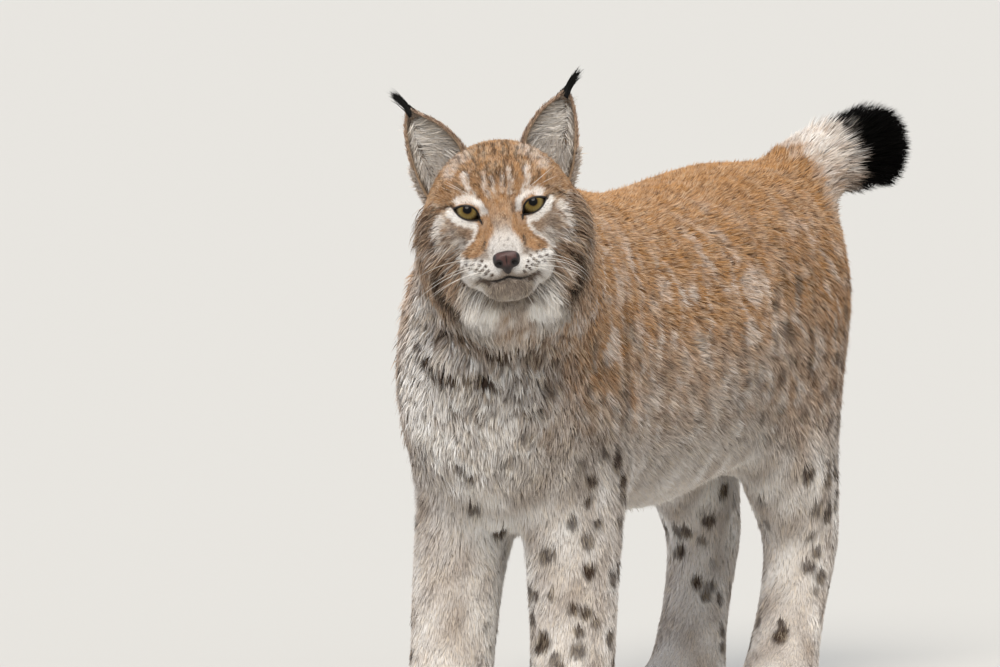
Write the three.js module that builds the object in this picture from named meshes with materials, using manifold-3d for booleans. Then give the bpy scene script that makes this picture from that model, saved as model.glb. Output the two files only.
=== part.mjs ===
// A life-size Eurasian lynx that stands still and looks to its left, modelled out to the tips of its winter coat.
// Millimetres, +Z up. The animal faces -Y, its left side is +X, and its paws stand on Z = 0.
// Each form is a field: a function that is negative inside the body and positive outside it.
// The fields blend into one body, and each node is found by walking out from a centre until its field ends.

import * as THREE from "three";
import { mergeVertices } from "three/addons/utils/BufferGeometryUtils.js";
import Module from "manifold-3d";

const wasm = await Module();
wasm.setup();

// Driving dimensions
const GAP = 0.3; // the clearance that touching nodes keep
const SHOULDER_TOP = 598; // height of the withers
const RUMP_TOP = 606; // height of the croup
const BRISKET = 256; // height of the chest's underside
const BELLY = 244; // height of the belly's fur
const FORE_Y = -5; // where the forelegs stand when square
const HIND_Y = 520; // where the hind legs stand when square
const STANCE_FORE = 58; // half the distance between the forelegs' middles
const STANCE_HIND = 66;
const HEAD_POINT = new THREE.Vector3(105, -230, 590); // the point midway between the eyes
const HEAD_YAW = 28; // the head is turned to the animal's left, degrees
const HEAD_ROLL = 7; // its left eye is the higher one
const HEAD_LIFT = 4; // the face looks a little up
const EYE = new THREE.Vector3(33.5, 16, -1); // left eyeball's middle, in the head's own frame
const EYE_R = 15.5;
const LID = 2.2; // thickness of an eyelid
const EAR_TIP = new THREE.Vector3(80, 58, 110);

// Colours and finishes
const finish = (color, roughness) => new THREE.MeshStandardMaterial({ color, roughness, metalness: 0 });
const RUSSET = finish(0xb98a5e, 0.9);
const PALE = finish(0xc9bdb0, 0.9);
const BLACK = finish(0x14110f, 0.85);
const EAR_FUR = finish(0xa39484, 0.9);
const IRIS = finish(0x8a7a35, 0.15);
const NOSE_SKIN = finish(0x6b4038, 0.45);

// Fields
const smoothMin = (a, b, k) => {
  const h = Math.max(k - Math.abs(a - b), 0) / k;
  return Math.min(a, b) - (h * h * k) / 4;
};
const blend = (k, ...fields) => (p) => fields.reduce((sum, f) => smoothMin(sum, f(p), k), 1e6);
const carve = (k, from, tool) => (p) => -smoothMin(-from(p), tool(p), k);

function ellipsoid(cx, cy, cz, rx, ry, rz) {
  return (p) => {
    const x = (p.x - cx) / rx;
    const y = (p.y - cy) / ry;
    const z = (p.z - cz) / rz;
    const k0 = Math.hypot(x, y, z);
    const k1 = Math.hypot(x / rx, y / ry, z / rz);
    return k1 < 1e-9 ? -Math.min(rx, ry, rz) : (k0 * (k0 - 1)) / k1;
  };
}

const ball = (x, y, z, r) => (p) => Math.hypot(p.x - x, p.y - y, p.z - z) - r;

// A straight form from one ball to another.
function cone(from, r1, to, r2) {
  const a = new THREE.Vector3(...from);
  const line = new THREE.Vector3(...to).sub(a);
  const span = line.lengthSq();
  return (p) => {
    const along = ((p.x - a.x) * line.x + (p.y - a.y) * line.y + (p.z - a.z) * line.z) / span;
    const t = THREE.MathUtils.clamp(along, 0, 1);
    const away = Math.hypot(p.x - a.x - t * line.x, p.y - a.y - t * line.y, p.z - a.z - t * line.z);
    return away - r1 - (r2 - r1) * t;
  };
}

// A row is a place along the body, then the values there. The result reads them smoothly in between.
function smoothRows(rows) {
  const places = rows.map((row) => row[0]);
  const values = rows.flatMap((row) => row.slice(1));
  const reader = new THREE.CubicInterpolant(places, values, rows[0].length - 1);
  const low = places[0];
  const high = places[places.length - 1];
  return (t) => Array.from(reader.evaluate(THREE.MathUtils.clamp(t, low, high)));
}

// A row of the trunk: y, sideways middle, top, underside, half width.
function trunkField(rows) {
  const at = smoothRows(rows);
  const ends = [rows[0][0], rows[rows.length - 1][0]];
  const fullness = 2.3;
  return (p) => {
    const [x, top, bottom, half] = at(p.y);
    const tall = (top - bottom) / 2;
    const side = Math.abs(p.x - x) / half;
    const up = Math.abs(p.z - (top + bottom) / 2) / tall;
    const ring = (side ** fullness + up ** fullness) ** (1 / fullness);
    return (ring - 1) * Math.min(half, tall) + Math.max(ends[0] - p.y, p.y - ends[1], 0);
  };
}

// A row of a limb: height, sideways shift, forward shift, half width, half depth.
function limbRows(rows, x, y, step) {
  const reach = 430; // above this height a step of the paw moves nothing
  const side = Math.sign(x);
  return rows.map(([z, dx, dy, w, d]) => [
    z,
    x + side * dx,
    y + dy + step * THREE.MathUtils.clamp(1 - z / reach, 0, 1),
    w,
    d,
  ]);
}

function limbField(rows) {
  const at = smoothRows(rows);
  const top = rows[rows.length - 1][0];
  return (p) => {
    const [x, y, w, d] = at(p.z);
    const ring = Math.hypot((p.x - x) / w, (p.y - y) / d);
    return (ring - 1) * Math.min(w, d) + Math.max(p.z - top, 0);
  };
}

// A round form along a curve, given as points with a radius at each.
function ropeField(points) {
  const curve = new THREE.CatmullRomCurve3(points.map(([x, y, z]) => new THREE.Vector3(x, y, z)));
  const steps = 24;
  const radius = smoothRows(points.map((row, i) => [i / (points.length - 1), row[3]]));
  const beads = Array.from({ length: steps + 1 }, (_, i) => ({
    at: curve.getPoint(i / steps),
    r: radius(i / steps)[0],
  }));
  return (p) => Math.min(...beads.map((bead) => p.distanceTo(bead.at) - bead.r));
}

// The trunk, neck and tail
const trunk = trunkField([
  [-150, 10, 455, 385, 30],
  [-125, 8, 500, 330, 70],
  [-90, 6, 540, 285, 90],
  [-40, 3, 578, BRISKET + 10, 98],
  [30, 0, SHOULDER_TOP, BRISKET, 102],
  [110, 0, 592, BRISKET - 6, 106],
  [200, 0, 583, BELLY, 110],
  [300, 0, 588, BELLY, 112],
  [400, 0, 600, BELLY + 20, 112],
  [490, 0, RUMP_TOP, 300, 108],
  [560, 0, 594, 336, 103],
  [600, 0, 580, 356, 93],
  [626, 0, 564, 380, 78],
  [644, 0, 542, 408, 58],
  [654, 0, 516, 438, 34],
  [660, 0, 486, 470, 6],
]);

const NECK_POINTS = [
  [0, 30, 500, 92],
  [35, -70, 505, 95],
  [66, -150, 548, 88],
  [80, -185, 572, 70],
];
const neckForm = ropeField(NECK_POINTS);

const TAIL_POINTS = [
  [0, 548, 518, 40],
  [22, 606, 566, 46],
  [44, 638, 600, 43],
  [67, 664, 610, 38],
  [84, 686, 617, 32],
  [98, 702, 617, 22],
];
const tailForm = ropeField(TAIL_POINTS);

// The legs, from the sole up
const FORELEG = [
  [-20, 0, -8, 42, 46],
  [0, 0, -8, 44, 50],
  [30, 0, -8, 46, 50],
  [55, 1, -4, 45, 48],
  [80, 3, 3, 44, 46],
  [110, 3, 8, 44, 46],
  [150, 3, 10, 45, 49],
  [200, 2, 14, 47, 55],
  [250, 1, 20, 49, 64],
  [300, 2, 24, 50, 74],
  [360, 5, 16, 48, 82],
  [430, 3, 6, 42, 84],
  [500, -4, 10, 34, 70],
  [560, -16, 20, 20, 44],
];
const HINDLEG = [
  [-20, 0, -4, 39, 48],
  [0, 0, -4, 41, 50],
  [30, 0, -2, 42, 50],
  [55, 0, 5, 40, 45],
  [80, 0, 14, 38, 42],
  [120, 0, 30, 37, 42],
  [160, 0, 44, 38, 47],
  [185, 0, 46, 40, 51],
  [220, 0, 32, 44, 62],
  [260, -1, 14, 48, 80],
  [310, -3, 0, 52, 100],
  [370, -6, 2, 54, 114],
  [430, -9, 18, 53, 112],
  [490, -13, 36, 47, 94],
  [550, -20, 48, 34, 62],
  [590, -28, 50, 20, 36],
];
// Each leg: its rows, where it stands, and how far its paw is stepped back.
const LEGS = {
  foreleg_left: limbRows(FORELEG, STANCE_FORE, FORE_Y, 14),
  foreleg_right: limbRows(FORELEG, -STANCE_FORE, FORE_Y, -36),
  hindleg_left: limbRows(HINDLEG, STANCE_HIND, HIND_Y, -18),
  hindleg_right: limbRows(HINDLEG, -STANCE_HIND, HIND_Y, 22),
};

const TOES = [-1.5, -0.5, 0.5, 1.5];
function toesField(rows) {
  const [x, y] = smoothRows(rows)(20);
  const toes = TOES.map((place) => {
    const outer = Math.abs(place) > 1;
    return cone(
      [x + place * 20, y - (outer ? 22 : 30), 24],
      17,
      [x + place * 24, y - (outer ? 44 : 58), 13],
      12.5,
    );
  });
  return (p) => Math.min(...toes.map((toe) => toe(p)));
}
const legFields = Object.fromEntries(
  Object.entries(LEGS).map(([name, rows]) => [name, blend(5, limbField(rows), toesField(rows))]),
);
const allLegs = (p) => Math.min(...Object.values(legFields).map((f) => f(p)));
const body = blend(34, blend(34, trunk, neckForm, tailForm), allLegs);

// The head, in its own frame: origin midway between the eyes, -Y out of the face, +X its left
const bothSides = (make) => [make(1), make(-1)];
const skull = blend(
  26,
  ellipsoid(0, 68, 6, 72, 62, 66),
  ...bothSides((s) => ellipsoid(s * 38, 52, -24, 47, 43, 48)),
  ...bothSides((s) => ellipsoid(s * 28, 48, -58, 38, 35, 32)),
);
const face = blend(
  14,
  skull,
  cone([0, 25, 26], 24, [0, 9, -6], 18),
  cone([0, 9, -6], 18, [0, -28, -40], 18),
  ellipsoid(0, 0, -49, 36, 34, 26),
  ...bothSides((s) => ellipsoid(s * 36, 25, -22, 28, 22, 26)),
  ...bothSides((s) => ellipsoid(s * 16.5, -22, -57, 20, 21.5, 15.5)),
  ...bothSides((s) => ellipsoid(s * 28, 4, -60, 18, 26, 18)),
  ellipsoid(0, -9, -80, 24, 24, 15.5),
  ...bothSides((s) => ellipsoid(s * 33, 24, 22, 26, 15, 14)),
);
const sockets = blend(4, ...bothSides((s) => ellipsoid(s * (EYE.x - 3), -4, EYE.z - 3, 16, 9.5, 8)));
const lids = blend(4, ...bothSides((s) => ball(s * EYE.x, EYE.y, EYE.z, EYE_R + LID)));
const headForm = blend(6, carve(8, face, sockets), lids);

const NOSE_TIP = new THREE.Vector3(0, -44, -53);
const noseForm = carve(
  1.5,
  blend(
    4,
    ellipsoid(0, -43, -49.5, 12.5, 8.5, 6),
    ...bothSides((s) => ellipsoid(s * 7, -42, -53.5, 6.4, 9, 7)),
    ellipsoid(0, -42, -60, 4.5, 7.5, 7),
  ),
  blend(1, ...bothSides((s) => ellipsoid(s * 7.6, -51, -56, 2.5, 5, 2))),
);

const headPlace = new THREE.Matrix4()
  .makeRotationFromEuler(
    new THREE.Euler(
      THREE.MathUtils.degToRad(-HEAD_LIFT),
      THREE.MathUtils.degToRad(-HEAD_ROLL),
      THREE.MathUtils.degToRad(HEAD_YAW),
      "ZYX",
    ),
  )
  .setPosition(HEAD_POINT);

// Solids
function solidFrom(geometry) {
  const bare = new THREE.BufferGeometry();
  bare.setAttribute("position", geometry.getAttribute("position"));
  bare.setIndex(geometry.index);
  const merged = mergeVertices(bare, 1e-3);
  return new wasm.Manifold(
    new wasm.Mesh({
      numProp: 3,
      vertProperties: new Float32Array(merged.attributes.position.array),
      triVerts: new Uint32Array(merged.index.array),
    }),
  );
}

function geometryFrom(solid) {
  const mesh = solid.getMesh();
  const geometry = new THREE.BufferGeometry();
  const place = new Float32Array(mesh.numVert * 3);
  for (let i = 0; i < mesh.numVert; i++) {
    place.set(mesh.vertProperties.subarray(i * mesh.numProp, i * mesh.numProp + 3), i * 3);
  }
  geometry.setAttribute("position", new THREE.BufferAttribute(place, 3));
  geometry.setIndex(new THREE.BufferAttribute(new Uint32Array(mesh.triVerts), 1));
  return geometry;
}

const largest = (solid) => solid.decompose().sort((a, b) => b.volume() - a.volume())[0];

// Walks out from a centre along a direction and gives the point where the field ends.
function walkOut(field, centre, direction, swell = 0) {
  const stride = 3;
  const farthest = 260;
  const at = (d) => centre.clone().addScaledVector(direction, d);
  let far = stride;
  while (far < farthest && field(at(far)) < swell) far += stride;
  let near = far - stride;
  for (let i = 0; i < 12; i++) {
    const middle = (near + far) / 2;
    if (field(at(middle)) < swell) near = middle;
    else far = middle;
  }
  return at((near + far) / 2);
}

// A closed solid of rings, each found by walking out from its centre in the plane of u and v. Both ends
// are domed, and the rays of every ring can crowd towards one side.
function ringSolid(field, stations, rays, swell = 0, crowd = new THREE.Vector3()) {
  const [first, second] = stations;
  const end = stations[stations.length - 1];
  const beforeEnd = stations[stations.length - 2];
  const away = (from, to) => to.centre.clone().sub(from.centre).normalize();
  const points = [walkOut(field, first.centre, away(second, first), swell)];
  for (const { centre, u, v } of stations) {
    for (let i = 0; i < rays; i++) {
      const angle = (i / rays) * 2 * Math.PI;
      const direction = u.clone().multiplyScalar(Math.cos(angle)).addScaledVector(v, Math.sin(angle));
      points.push(walkOut(field, centre, direction.add(crowd).normalize(), swell));
    }
  }
  points.push(walkOut(field, end.centre, away(beforeEnd, end), swell));
  const index = [];
  const last = points.length - 1;
  for (let i = 0; i < rays; i++) {
    const next = (i + 1) % rays;
    index.push(0, 1 + next, 1 + i);
    for (let ring = 0; ring < stations.length - 1; ring++) {
      const low = 1 + ring * rays;
      const high = low + rays;
      index.push(low + i, low + next, high + next, low + i, high + next, high + i);
    }
    index.push(last, last - rays + i, last - rays + next);
  }
  return facingOut(new THREE.BufferGeometry().setFromPoints(points), index);
}

// A solid whose triangles face outwards whichever way round they were listed.
function facingOut(geometry, index) {
  const solid = solidFrom(geometry.setIndex(index));
  return solid.volume() < 0 ? solidFrom(geometry.setIndex(index.reverse())) : solid;
}

// A closed solid found by walking out from one centre in every direction of a warped icosphere.
function starSolid(field, centre, detail, crowd, swell = 0) {
  const sphere = mergeVertices(bareSphere(detail), 1e-4);
  const place = sphere.attributes.position;
  const direction = new THREE.Vector3();
  for (let i = 0; i < place.count; i++) {
    direction.fromBufferAttribute(place, i).add(crowd).normalize();
    const point = walkOut(field, centre, direction, swell);
    place.setXYZ(i, point.x, point.y, point.z);
  }
  return solidFrom(sphere);
}

function bareSphere(detail) {
  const sphere = new THREE.IcosahedronGeometry(1, detail);
  sphere.deleteAttribute("normal");
  sphere.deleteAttribute("uv");
  return sphere;
}

// Even, repeatable variation
let seed = 7;
function vary(low, high) {
  seed = (seed * 16807) % 2147483647;
  return low + ((high - low) * seed) / 2147483647;
}

// A flat tapered lock of fur from a root to a tip. It bows towards `bow` and lies flat against `facing`.
function furLock(root, tip, { width, thick, bow, facing }) {
  const middle = root.clone().lerp(tip, 0.5).add(bow);
  const curve = new THREE.QuadraticBezierCurve3(root, middle, tip);
  const rings = [[0, 0.5], [0.4, 1], [0.75, 0.6]];
  const points = [];
  for (const [t, share] of rings) {
    const along = curve.getTangent(t);
    const wide = new THREE.Vector3().crossVectors(along, facing).normalize();
    const flat = new THREE.Vector3().crossVectors(wide, along);
    const centre = curve.getPoint(t);
    for (const [u, v] of [[1, 0], [0, 1], [-1, 0], [0, -1]]) {
      points.push(
        centre
          .clone()
          .addScaledVector(wide, (u * share * width) / 2)
          .addScaledVector(flat, (v * share * thick) / 2),
      );
    }
  }
  points.push(tip);
  const index = [0, 1, 2, 0, 2, 3];
  for (let ring = 0; ring < rings.length; ring++) {
    for (let i = 0; i < 4; i++) {
      const low = ring * 4 + i;
      const next = ring * 4 + ((i + 1) % 4);
      if (ring < rings.length - 1) index.push(low, next + 4, next, low, low + 4, next + 4);
      else index.push(low, points.length - 1, next);
    }
  }
  return facingOut(new THREE.BufferGeometry().setFromPoints(points), index);
}

const lynx = new THREE.Group();
function addNode(name, solid, material) {
  const mesh = new THREE.Mesh(geometryFrom(largest(solid)), material);
  mesh.name = name;
  lynx.add(mesh);
}

const box = (low, high, place = new THREE.Matrix4()) => {
  const size = high.clone().sub(low);
  const middle = high.clone().add(low).multiplyScalar(0.5);
  const geometry = new THREE.BoxGeometry(size.x, size.y, size.z);
  return solidFrom(geometry.translate(middle.x, middle.y, middle.z).applyMatrix4(place));
};

const X = new THREE.Vector3(1, 0, 0);
const Y = new THREE.Vector3(0, 1, 0);
const Z = new THREE.Vector3(0, 0, 1);

// Where a leg is parted from the trunk: below a plane that rises outwards, on its own side of the middle,
// between two upright planes.
function legRoom(side, groin, outer, front, back, spare) {
  const rise = Math.atan2(outer[1] - groin[1], outer[0] - groin[0]);
  const place = new THREE.Matrix4()
    .makeTranslation(side * groin[0], 0, groin[1])
    .multiply(new THREE.Matrix4().makeRotationY(-side * rise));
  const low = new THREE.Vector3(-900, front - spare, -900);
  const below = box(low, new THREE.Vector3(900, back + spare, spare), place);
  return below.trimByPlane([side, 0, 0], GAP / 2 - spare);
}
const ROOMS = {
  foreleg_left: (spare) => legRoom(1, [20, 268], [120, 400], -150, 92, spare),
  foreleg_right: (spare) => legRoom(-1, [20, 268], [120, 400], -190, 56, spare),
  hindleg_left: (spare) => legRoom(1, [18, 318], [125, 476], 404, 700, spare),
  hindleg_right: (spare) => legRoom(-1, [18, 318], [125, 476], 424, 700, spare),
};

// The planes that part the neck and the tail from the trunk, as a normal and a point.
const NECK_CUT = { normal: new THREE.Vector3(0.36, -0.8, 0.48).normalize(), point: new THREE.Vector3(30, -62, 500) };
const TAIL_CUT = { normal: new THREE.Vector3(0.3, 0.72, 0.62).normalize(), point: new THREE.Vector3(14, 622, 576) };
const BRUSH_CUT = { normal: new THREE.Vector3(0.6, 0.7, 0.3).normalize(), point: new THREE.Vector3(56, 674, 604) };
const keepAhead = (solid, cut) =>
  solid.trimByPlane(cut.normal.toArray(), cut.point.dot(cut.normal) + GAP / 2);
const keepBehind = (solid, cut) =>
  solid.trimByPlane(cut.normal.clone().negate().toArray(), -cut.point.dot(cut.normal) + GAP / 2);

// Trunk
const CHEST_PLACES = [-146, -138, -128, -114, -96, -76, -54, -28];
const RUMP_PLACES = [608, 628, 643, 652, 658];
const FLANK_PLACES = Array.from({ length: 15 }, (_, i) => 4 + i * 40.5);
const trunkPlaces = [...CHEST_PLACES, ...FLANK_PLACES, ...RUMP_PLACES];
const trunkStations = [];
for (const y of trunkPlaces) {
  const [x, top, bottom] = smoothRows([
    [-150, 10, 455, 385],
    [30, 0, 590, 280],
    [490, 0, 600, 320],
    [640, 0, 520, 420],
    [668, 0, 496, 460],
  ])(y);
  trunkStations.push({ centre: new THREE.Vector3(x, y, (top + bottom) / 2), u: X, v: Z });
}
const nearTrunk = (p) => Math.max(body(p), -(p.z - 180));
let torso = ringSolid(nearTrunk, trunkStations, 26);
const torsoRoom = ringSolid(nearTrunk, trunkStations, 26, 0.6);
for (const room of Object.values(ROOMS)) torso = torso.subtract(room(GAP));
torso = keepBehind(keepBehind(torso, NECK_CUT), TAIL_CUT);
addNode("torso", torso, RUSSET);

// Legs and paws
const WRIST = 64;
const LEG_PLACES = {
  fore: [56, 74, 98, 126, 156, 186, 214, 234, 246, 258, 284, 314, 346, 378, 410],
  hind: [56, 74, 100, 130, 160, 185, 214, 244, 264, 280, 296, 326, 360, 396, 432, 470],
};
const PAW_PLACES = [-4, 5, 14, 23, 33, 46, 70];
const TOEWARD = new THREE.Vector3(0, -0.5, 0);
for (const [name, rows] of Object.entries(LEGS)) {
  const at = smoothRows(rows);
  const station = (z) => {
    const [x, y] = at(z);
    return { centre: new THREE.Vector3(x, y, z), u: X, v: Y };
  };
  const leg = ringSolid(body, LEG_PLACES[name.slice(0, 4)].map(station), 20).intersect(ROOMS[name](0));
  const paw = ringSolid(body, PAW_PLACES.map(station), 26, 0, TOEWARD).trimByPlane([0, 0, 1], 0);
  addNode(name, leg.trimByPlane([0, 0, 1], WRIST + GAP / 2), PALE);
  addNode(name.replace("leg", "paw"), paw.trimByPlane([0, 0, -1], -WRIST + GAP / 2), PALE);
}

// Neck, from inside the trunk to inside the head
const neckCurve = new THREE.CatmullRomCurve3(NECK_POINTS.map(([x, y, z]) => new THREE.Vector3(x, y, z)));
const neckStations = [];
const neckU = new THREE.Vector3().crossVectors(NECK_CUT.normal, Z).normalize();
const neckV = new THREE.Vector3().crossVectors(neckU, NECK_CUT.normal).normalize();
for (const t of [0.06, 0.2, 0.28, 0.35, 0.42, 0.5, 0.6, 0.72, 0.85, 1]) {
  neckStations.push({ centre: neckCurve.getPoint(t), u: neckU, v: neckV });
}
const neckSize = (swell) => keepAhead(ringSolid(body, neckStations, 26, swell), NECK_CUT);
const neckRoom = neckSize(0.6);

// Head
const HEAD_CENTRE = new THREE.Vector3(0, 44, -24);
const FACEWARD = new THREE.Vector3(0, -0.42, -0.1);
const headSize = (swell, detail = 12) => starSolid(headForm, HEAD_CENTRE, detail, FACEWARD, swell);
const toWorld = (solid) => solid.transform(headPlace.elements);
let head = headSize(0);
const headRoom = toWorld(headSize(1.4, 9));

// The nose pad sits in the end of the muzzle
const NOSEWARD = new THREE.Vector3(0, -0.4, 0);
const noseSize = (swell, detail) => starSolid(noseForm, NOSE_TIP, detail, NOSEWARD, swell);
head = head.subtract(noseSize(0.7, 3));
addNode("nose", toWorld(noseSize(0, 3)), NOSE_SKIN);

// A shallow line cut along the face, seen from the front as a band of the given half thickness
const faceCore = headSize(-3, 8);
function faceLine(points, half) {
  const line = new THREE.CatmullRomCurve3(points.map(([x, z]) => new THREE.Vector3(x, z, 0)));
  const run = line.getPoints(12);
  const outline = new THREE.Shape(
    [...run.map((p) => [p.x, p.y + half]), ...run.reverse().map((p) => [p.x, p.y - half])].map(
      ([x, y]) => new THREE.Vector2(x, y),
    ),
  );
  const band = new THREE.ExtrudeGeometry(outline, { depth: 90, bevelEnabled: false });
  return solidFrom(band.rotateX(Math.PI / 2).translate(0, 30, 0)).subtract(faceCore);
}
const MOUTH = [[-31, -65.5], [-24, -70], [-12, -72.5], [0, -69.5], [12, -72.5], [24, -70], [31, -65.5]];
head = head.subtract(faceLine(MOUTH, 0.9));

// The ruff: rows of locks that hang from each cheek. Each row: how far round the cheek from the ear to
// the chin, then the tip's x, y and z, then how steeply the root's direction drops from the head's middle.
const RUFF_ROWS = [
  [0, 88, 56, -12, 0.5],
  [0.17, 92, 54, -32, 0.2],
  [0.34, 89, 50, -54, -0.05],
  [0.5, 82, 44, -75, -0.3],
  [0.67, 71, 38, -95, -0.6],
  [0.84, 57, 31, -112, -0.95],
  [1, 40, 24, -122, -1.3],
];
// Each tier: its locks, the stretch that it covers, its roots' x and y direction, and its tips' place.
const RUFF_TIERS = [
  { locks: 6, from: 0.36, to: 1, out: 0.66, back: -0.36, scale: 0.93, shift: -16 },
  { locks: 9, from: 0, to: 0.96, out: 0.9, back: -0.05, scale: 1, shift: 0 },
  { locks: 5, from: 0.02, to: 0.8, out: 0.95, back: 0.4, scale: 0.98, shift: 20 },
];
function ruff() {
  const at = smoothRows(RUFF_ROWS);
  const locks = [];
  for (const side of [1, -1]) {
    for (const tier of RUFF_TIERS) {
      for (let i = 0; i < tier.locks; i++) {
        const t = THREE.MathUtils.lerp(tier.from, tier.to, i / (tier.locks - 1)) + vary(-0.02, 0.02);
        const [tipX, tipY, tipZ, drop] = at(t);
        const aim = new THREE.Vector3(side * tier.out, tier.back, drop).normalize();
        const root = walkOut(headForm, HEAD_CENTRE, aim, -7);
        const tip = new THREE.Vector3(side * tipX * tier.scale, tipY + tier.shift, tipZ * tier.scale);
        tip.x += vary(-2, 2);
        tip.y += vary(-4, 4);
        tip.z += vary(-4, 4);
        const bow = aim.clone().multiplyScalar(13);
        locks.push(furLock(root, tip, { width: vary(15, 20), thick: vary(6, 8), bow, facing: aim }));
      }
    }
  }
  return wasm.Manifold.union(locks);
}
const EAR_FOOT = 19; // the ears start above this height of the head, and the ruff ends below it
const ruffRoom = torsoRoom.add(neckRoom);
const headLocks = toWorld(ruff().trimByPlane([0, 0, -1], -EAR_FOOT)).subtract(ruffRoom);

// Eyes and the slits between their lids
function eyeSlit(side) {
  const outline = new THREE.Shape();
  outline.moveTo(side * 20.5, -11);
  outline.bezierCurveTo(side * 24, 4, side * 38, 13, side * 48, 4.5);
  outline.bezierCurveTo(side * 45, -9, side * 32, -12, side * 20.5, -11);
  const slit = new THREE.ExtrudeGeometry(outline, { depth: 40, bevelEnabled: false, curveSegments: 8 });
  return solidFrom(slit.rotateX(Math.PI / 2).translate(0, EYE.y - 1, 0));
}
for (const side of [1, -1]) {
  const eyeball = new THREE.SphereGeometry(EYE_R, 16, 10).translate(side * EYE.x, EYE.y, EYE.z);
  const socket = new THREE.SphereGeometry(EYE_R + 2 * GAP, 16, 10).translate(side * EYE.x, EYE.y, EYE.z);
  head = head.subtract(solidFrom(socket)).subtract(eyeSlit(side));
  addNode(side > 0 ? "eye_left" : "eye_right", toWorld(solidFrom(eyeball)), IRIS);
}
addNode("head", toWorld(head).add(headLocks), PALE);

// Ears: a cupped sheet that opens forwards. Each row: how far up the ear, the inner edge's x and z,
// the outer edge's x and z, the front edge's y, the depth of the cup, the sheet's thickness.
const EAR_ROWS = [
  [0, 28, 52, 72, 8, 66, 34, 9],
  [0.25, 30, 68, 81, 33, 62, 33, 6],
  [0.5, 40, 83, 85.5, 58, 60, 27, 4.4],
  [0.75, 55, 97, 87, 82, 60, 18, 3.4],
  [0.92, 69, 105, 85, 99, 60, 9, 2.6],
  [1, 77.5, 110, 82, 110, 60, 3, 2],
];
function earSheet(side) {
  const at = smoothRows(EAR_ROWS);
  const rings = 7;
  const across = 8;
  const points = [];
  for (let ring = 0; ring <= rings; ring++) {
    const [inX, inZ, outX, outZ, y, depth, thick] = at(ring / rings);
    for (const layer of [0, 1]) {
      for (let i = 0; i <= across; i++) {
        const step = layer ? across - i : i;
        const turn = (step / across) * Math.PI;
        const width = 1 - (layer * 2 * thick) / Math.hypot(outX - inX, outZ - inZ);
        const along = 0.5 - (Math.cos(turn) / 2) * width;
        const back = Math.sin(turn) * Math.max(depth - layer * thick, 0.6) + layer * thick * 0.25;
        const lift = Math.sin(turn) * 4;
        points.push(
          new THREE.Vector3(
            side * THREE.MathUtils.lerp(inX, outX, along),
            y + back,
            THREE.MathUtils.lerp(inZ, outZ, along) + lift,
          ),
        );
      }
    }
  }
  const loop = 2 * (across + 1);
  const index = [];
  const quad = (a, b, c, d) => index.push(a, b, c, a, c, d);
  for (let ring = 0; ring < rings; ring++) {
    for (let i = 0; i < loop; i++) {
      const next = (i + 1) % loop;
      const low = ring * loop;
      quad(low + i, low + next, low + loop + next, low + loop + i);
    }
  }
  for (let i = 0; i < across; i++) {
    const top = rings * loop;
    quad(i, loop - 1 - i, loop - 2 - i, i + 1);
    quad(top + i, top + i + 1, top + loop - 2 - i, top + loop - 1 - i);
  }
  return facingOut(new THREE.BufferGeometry().setFromPoints(points), index);
}
// The black tuft at an ear's tip, and the pale hairs that cross its cup from the inner edge
const EAR_CUP_HAIRS = [
  [33, 60, 60, 54], [37, 70, 66, 68], [46, 82, 73, 82],
];
function earLocks(side) {
  const locks = [];
  for (let i = 0; i < 4; i++) {
    const tip = new THREE.Vector3(side * vary(92, 100), 58 + vary(-4, 6), vary(123, 134));
    const root = new THREE.Vector3(side * (79 + vary(-1.5, 1.5)), 61 + vary(-1, 2), 104);
    const bow = new THREE.Vector3(side * -3, 0, 3);
    const facing = new THREE.Vector3(0, -1, 0).applyAxisAngle(Z, vary(-1, 1));
    locks.push(furLock(root, tip, { width: 7, thick: 4.5, bow, facing }));
  }
  for (const [rootX, rootZ, tipX, tipZ] of EAR_CUP_HAIRS) {
    const root = new THREE.Vector3(side * rootX, 66, rootZ);
    const tip = new THREE.Vector3(side * tipX, 60 + vary(-3, 5), tipZ);
    const bow = new THREE.Vector3(0, -5, 5);
    locks.push(furLock(root, tip, { width: 13, thick: 4, bow, facing: new THREE.Vector3(0, -1, 0) }));
  }
  return wasm.Manifold.union(locks);
}
for (const side of [1, -1]) {
  const sheet = earSheet(side).add(earLocks(side)).trimByPlane([0, 0, 1], EAR_FOOT + GAP);
  const ear = toWorld(sheet).subtract(headRoom).subtract(neckRoom);
  addNode(side > 0 ? "ear_left" : "ear_right", ear, EAR_FUR);
}

addNode("neck", neckSize(0).subtract(headRoom), PALE);

// Tail
const tailCurve = new THREE.CatmullRomCurve3(TAIL_POINTS.map(([x, y, z]) => new THREE.Vector3(x, y, z)));
const tailStations = [];
for (let i = 0; i <= 12; i++) {
  const t = i / 12;
  const along = tailCurve.getTangent(t);
  const u = new THREE.Vector3().crossVectors(along, Z).normalize();
  tailStations.push({ centre: tailCurve.getPoint(t), u, v: new THREE.Vector3().crossVectors(u, along) });
}
const wholeTail = ringSolid(body, tailStations, 16);
const brushRoom = keepBehind(ringSolid(body, tailStations, 16, 0.5), BRUSH_CUT);
addNode("tail_base", keepBehind(keepAhead(wholeTail, TAIL_CUT), BRUSH_CUT), RUSSET);

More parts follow.
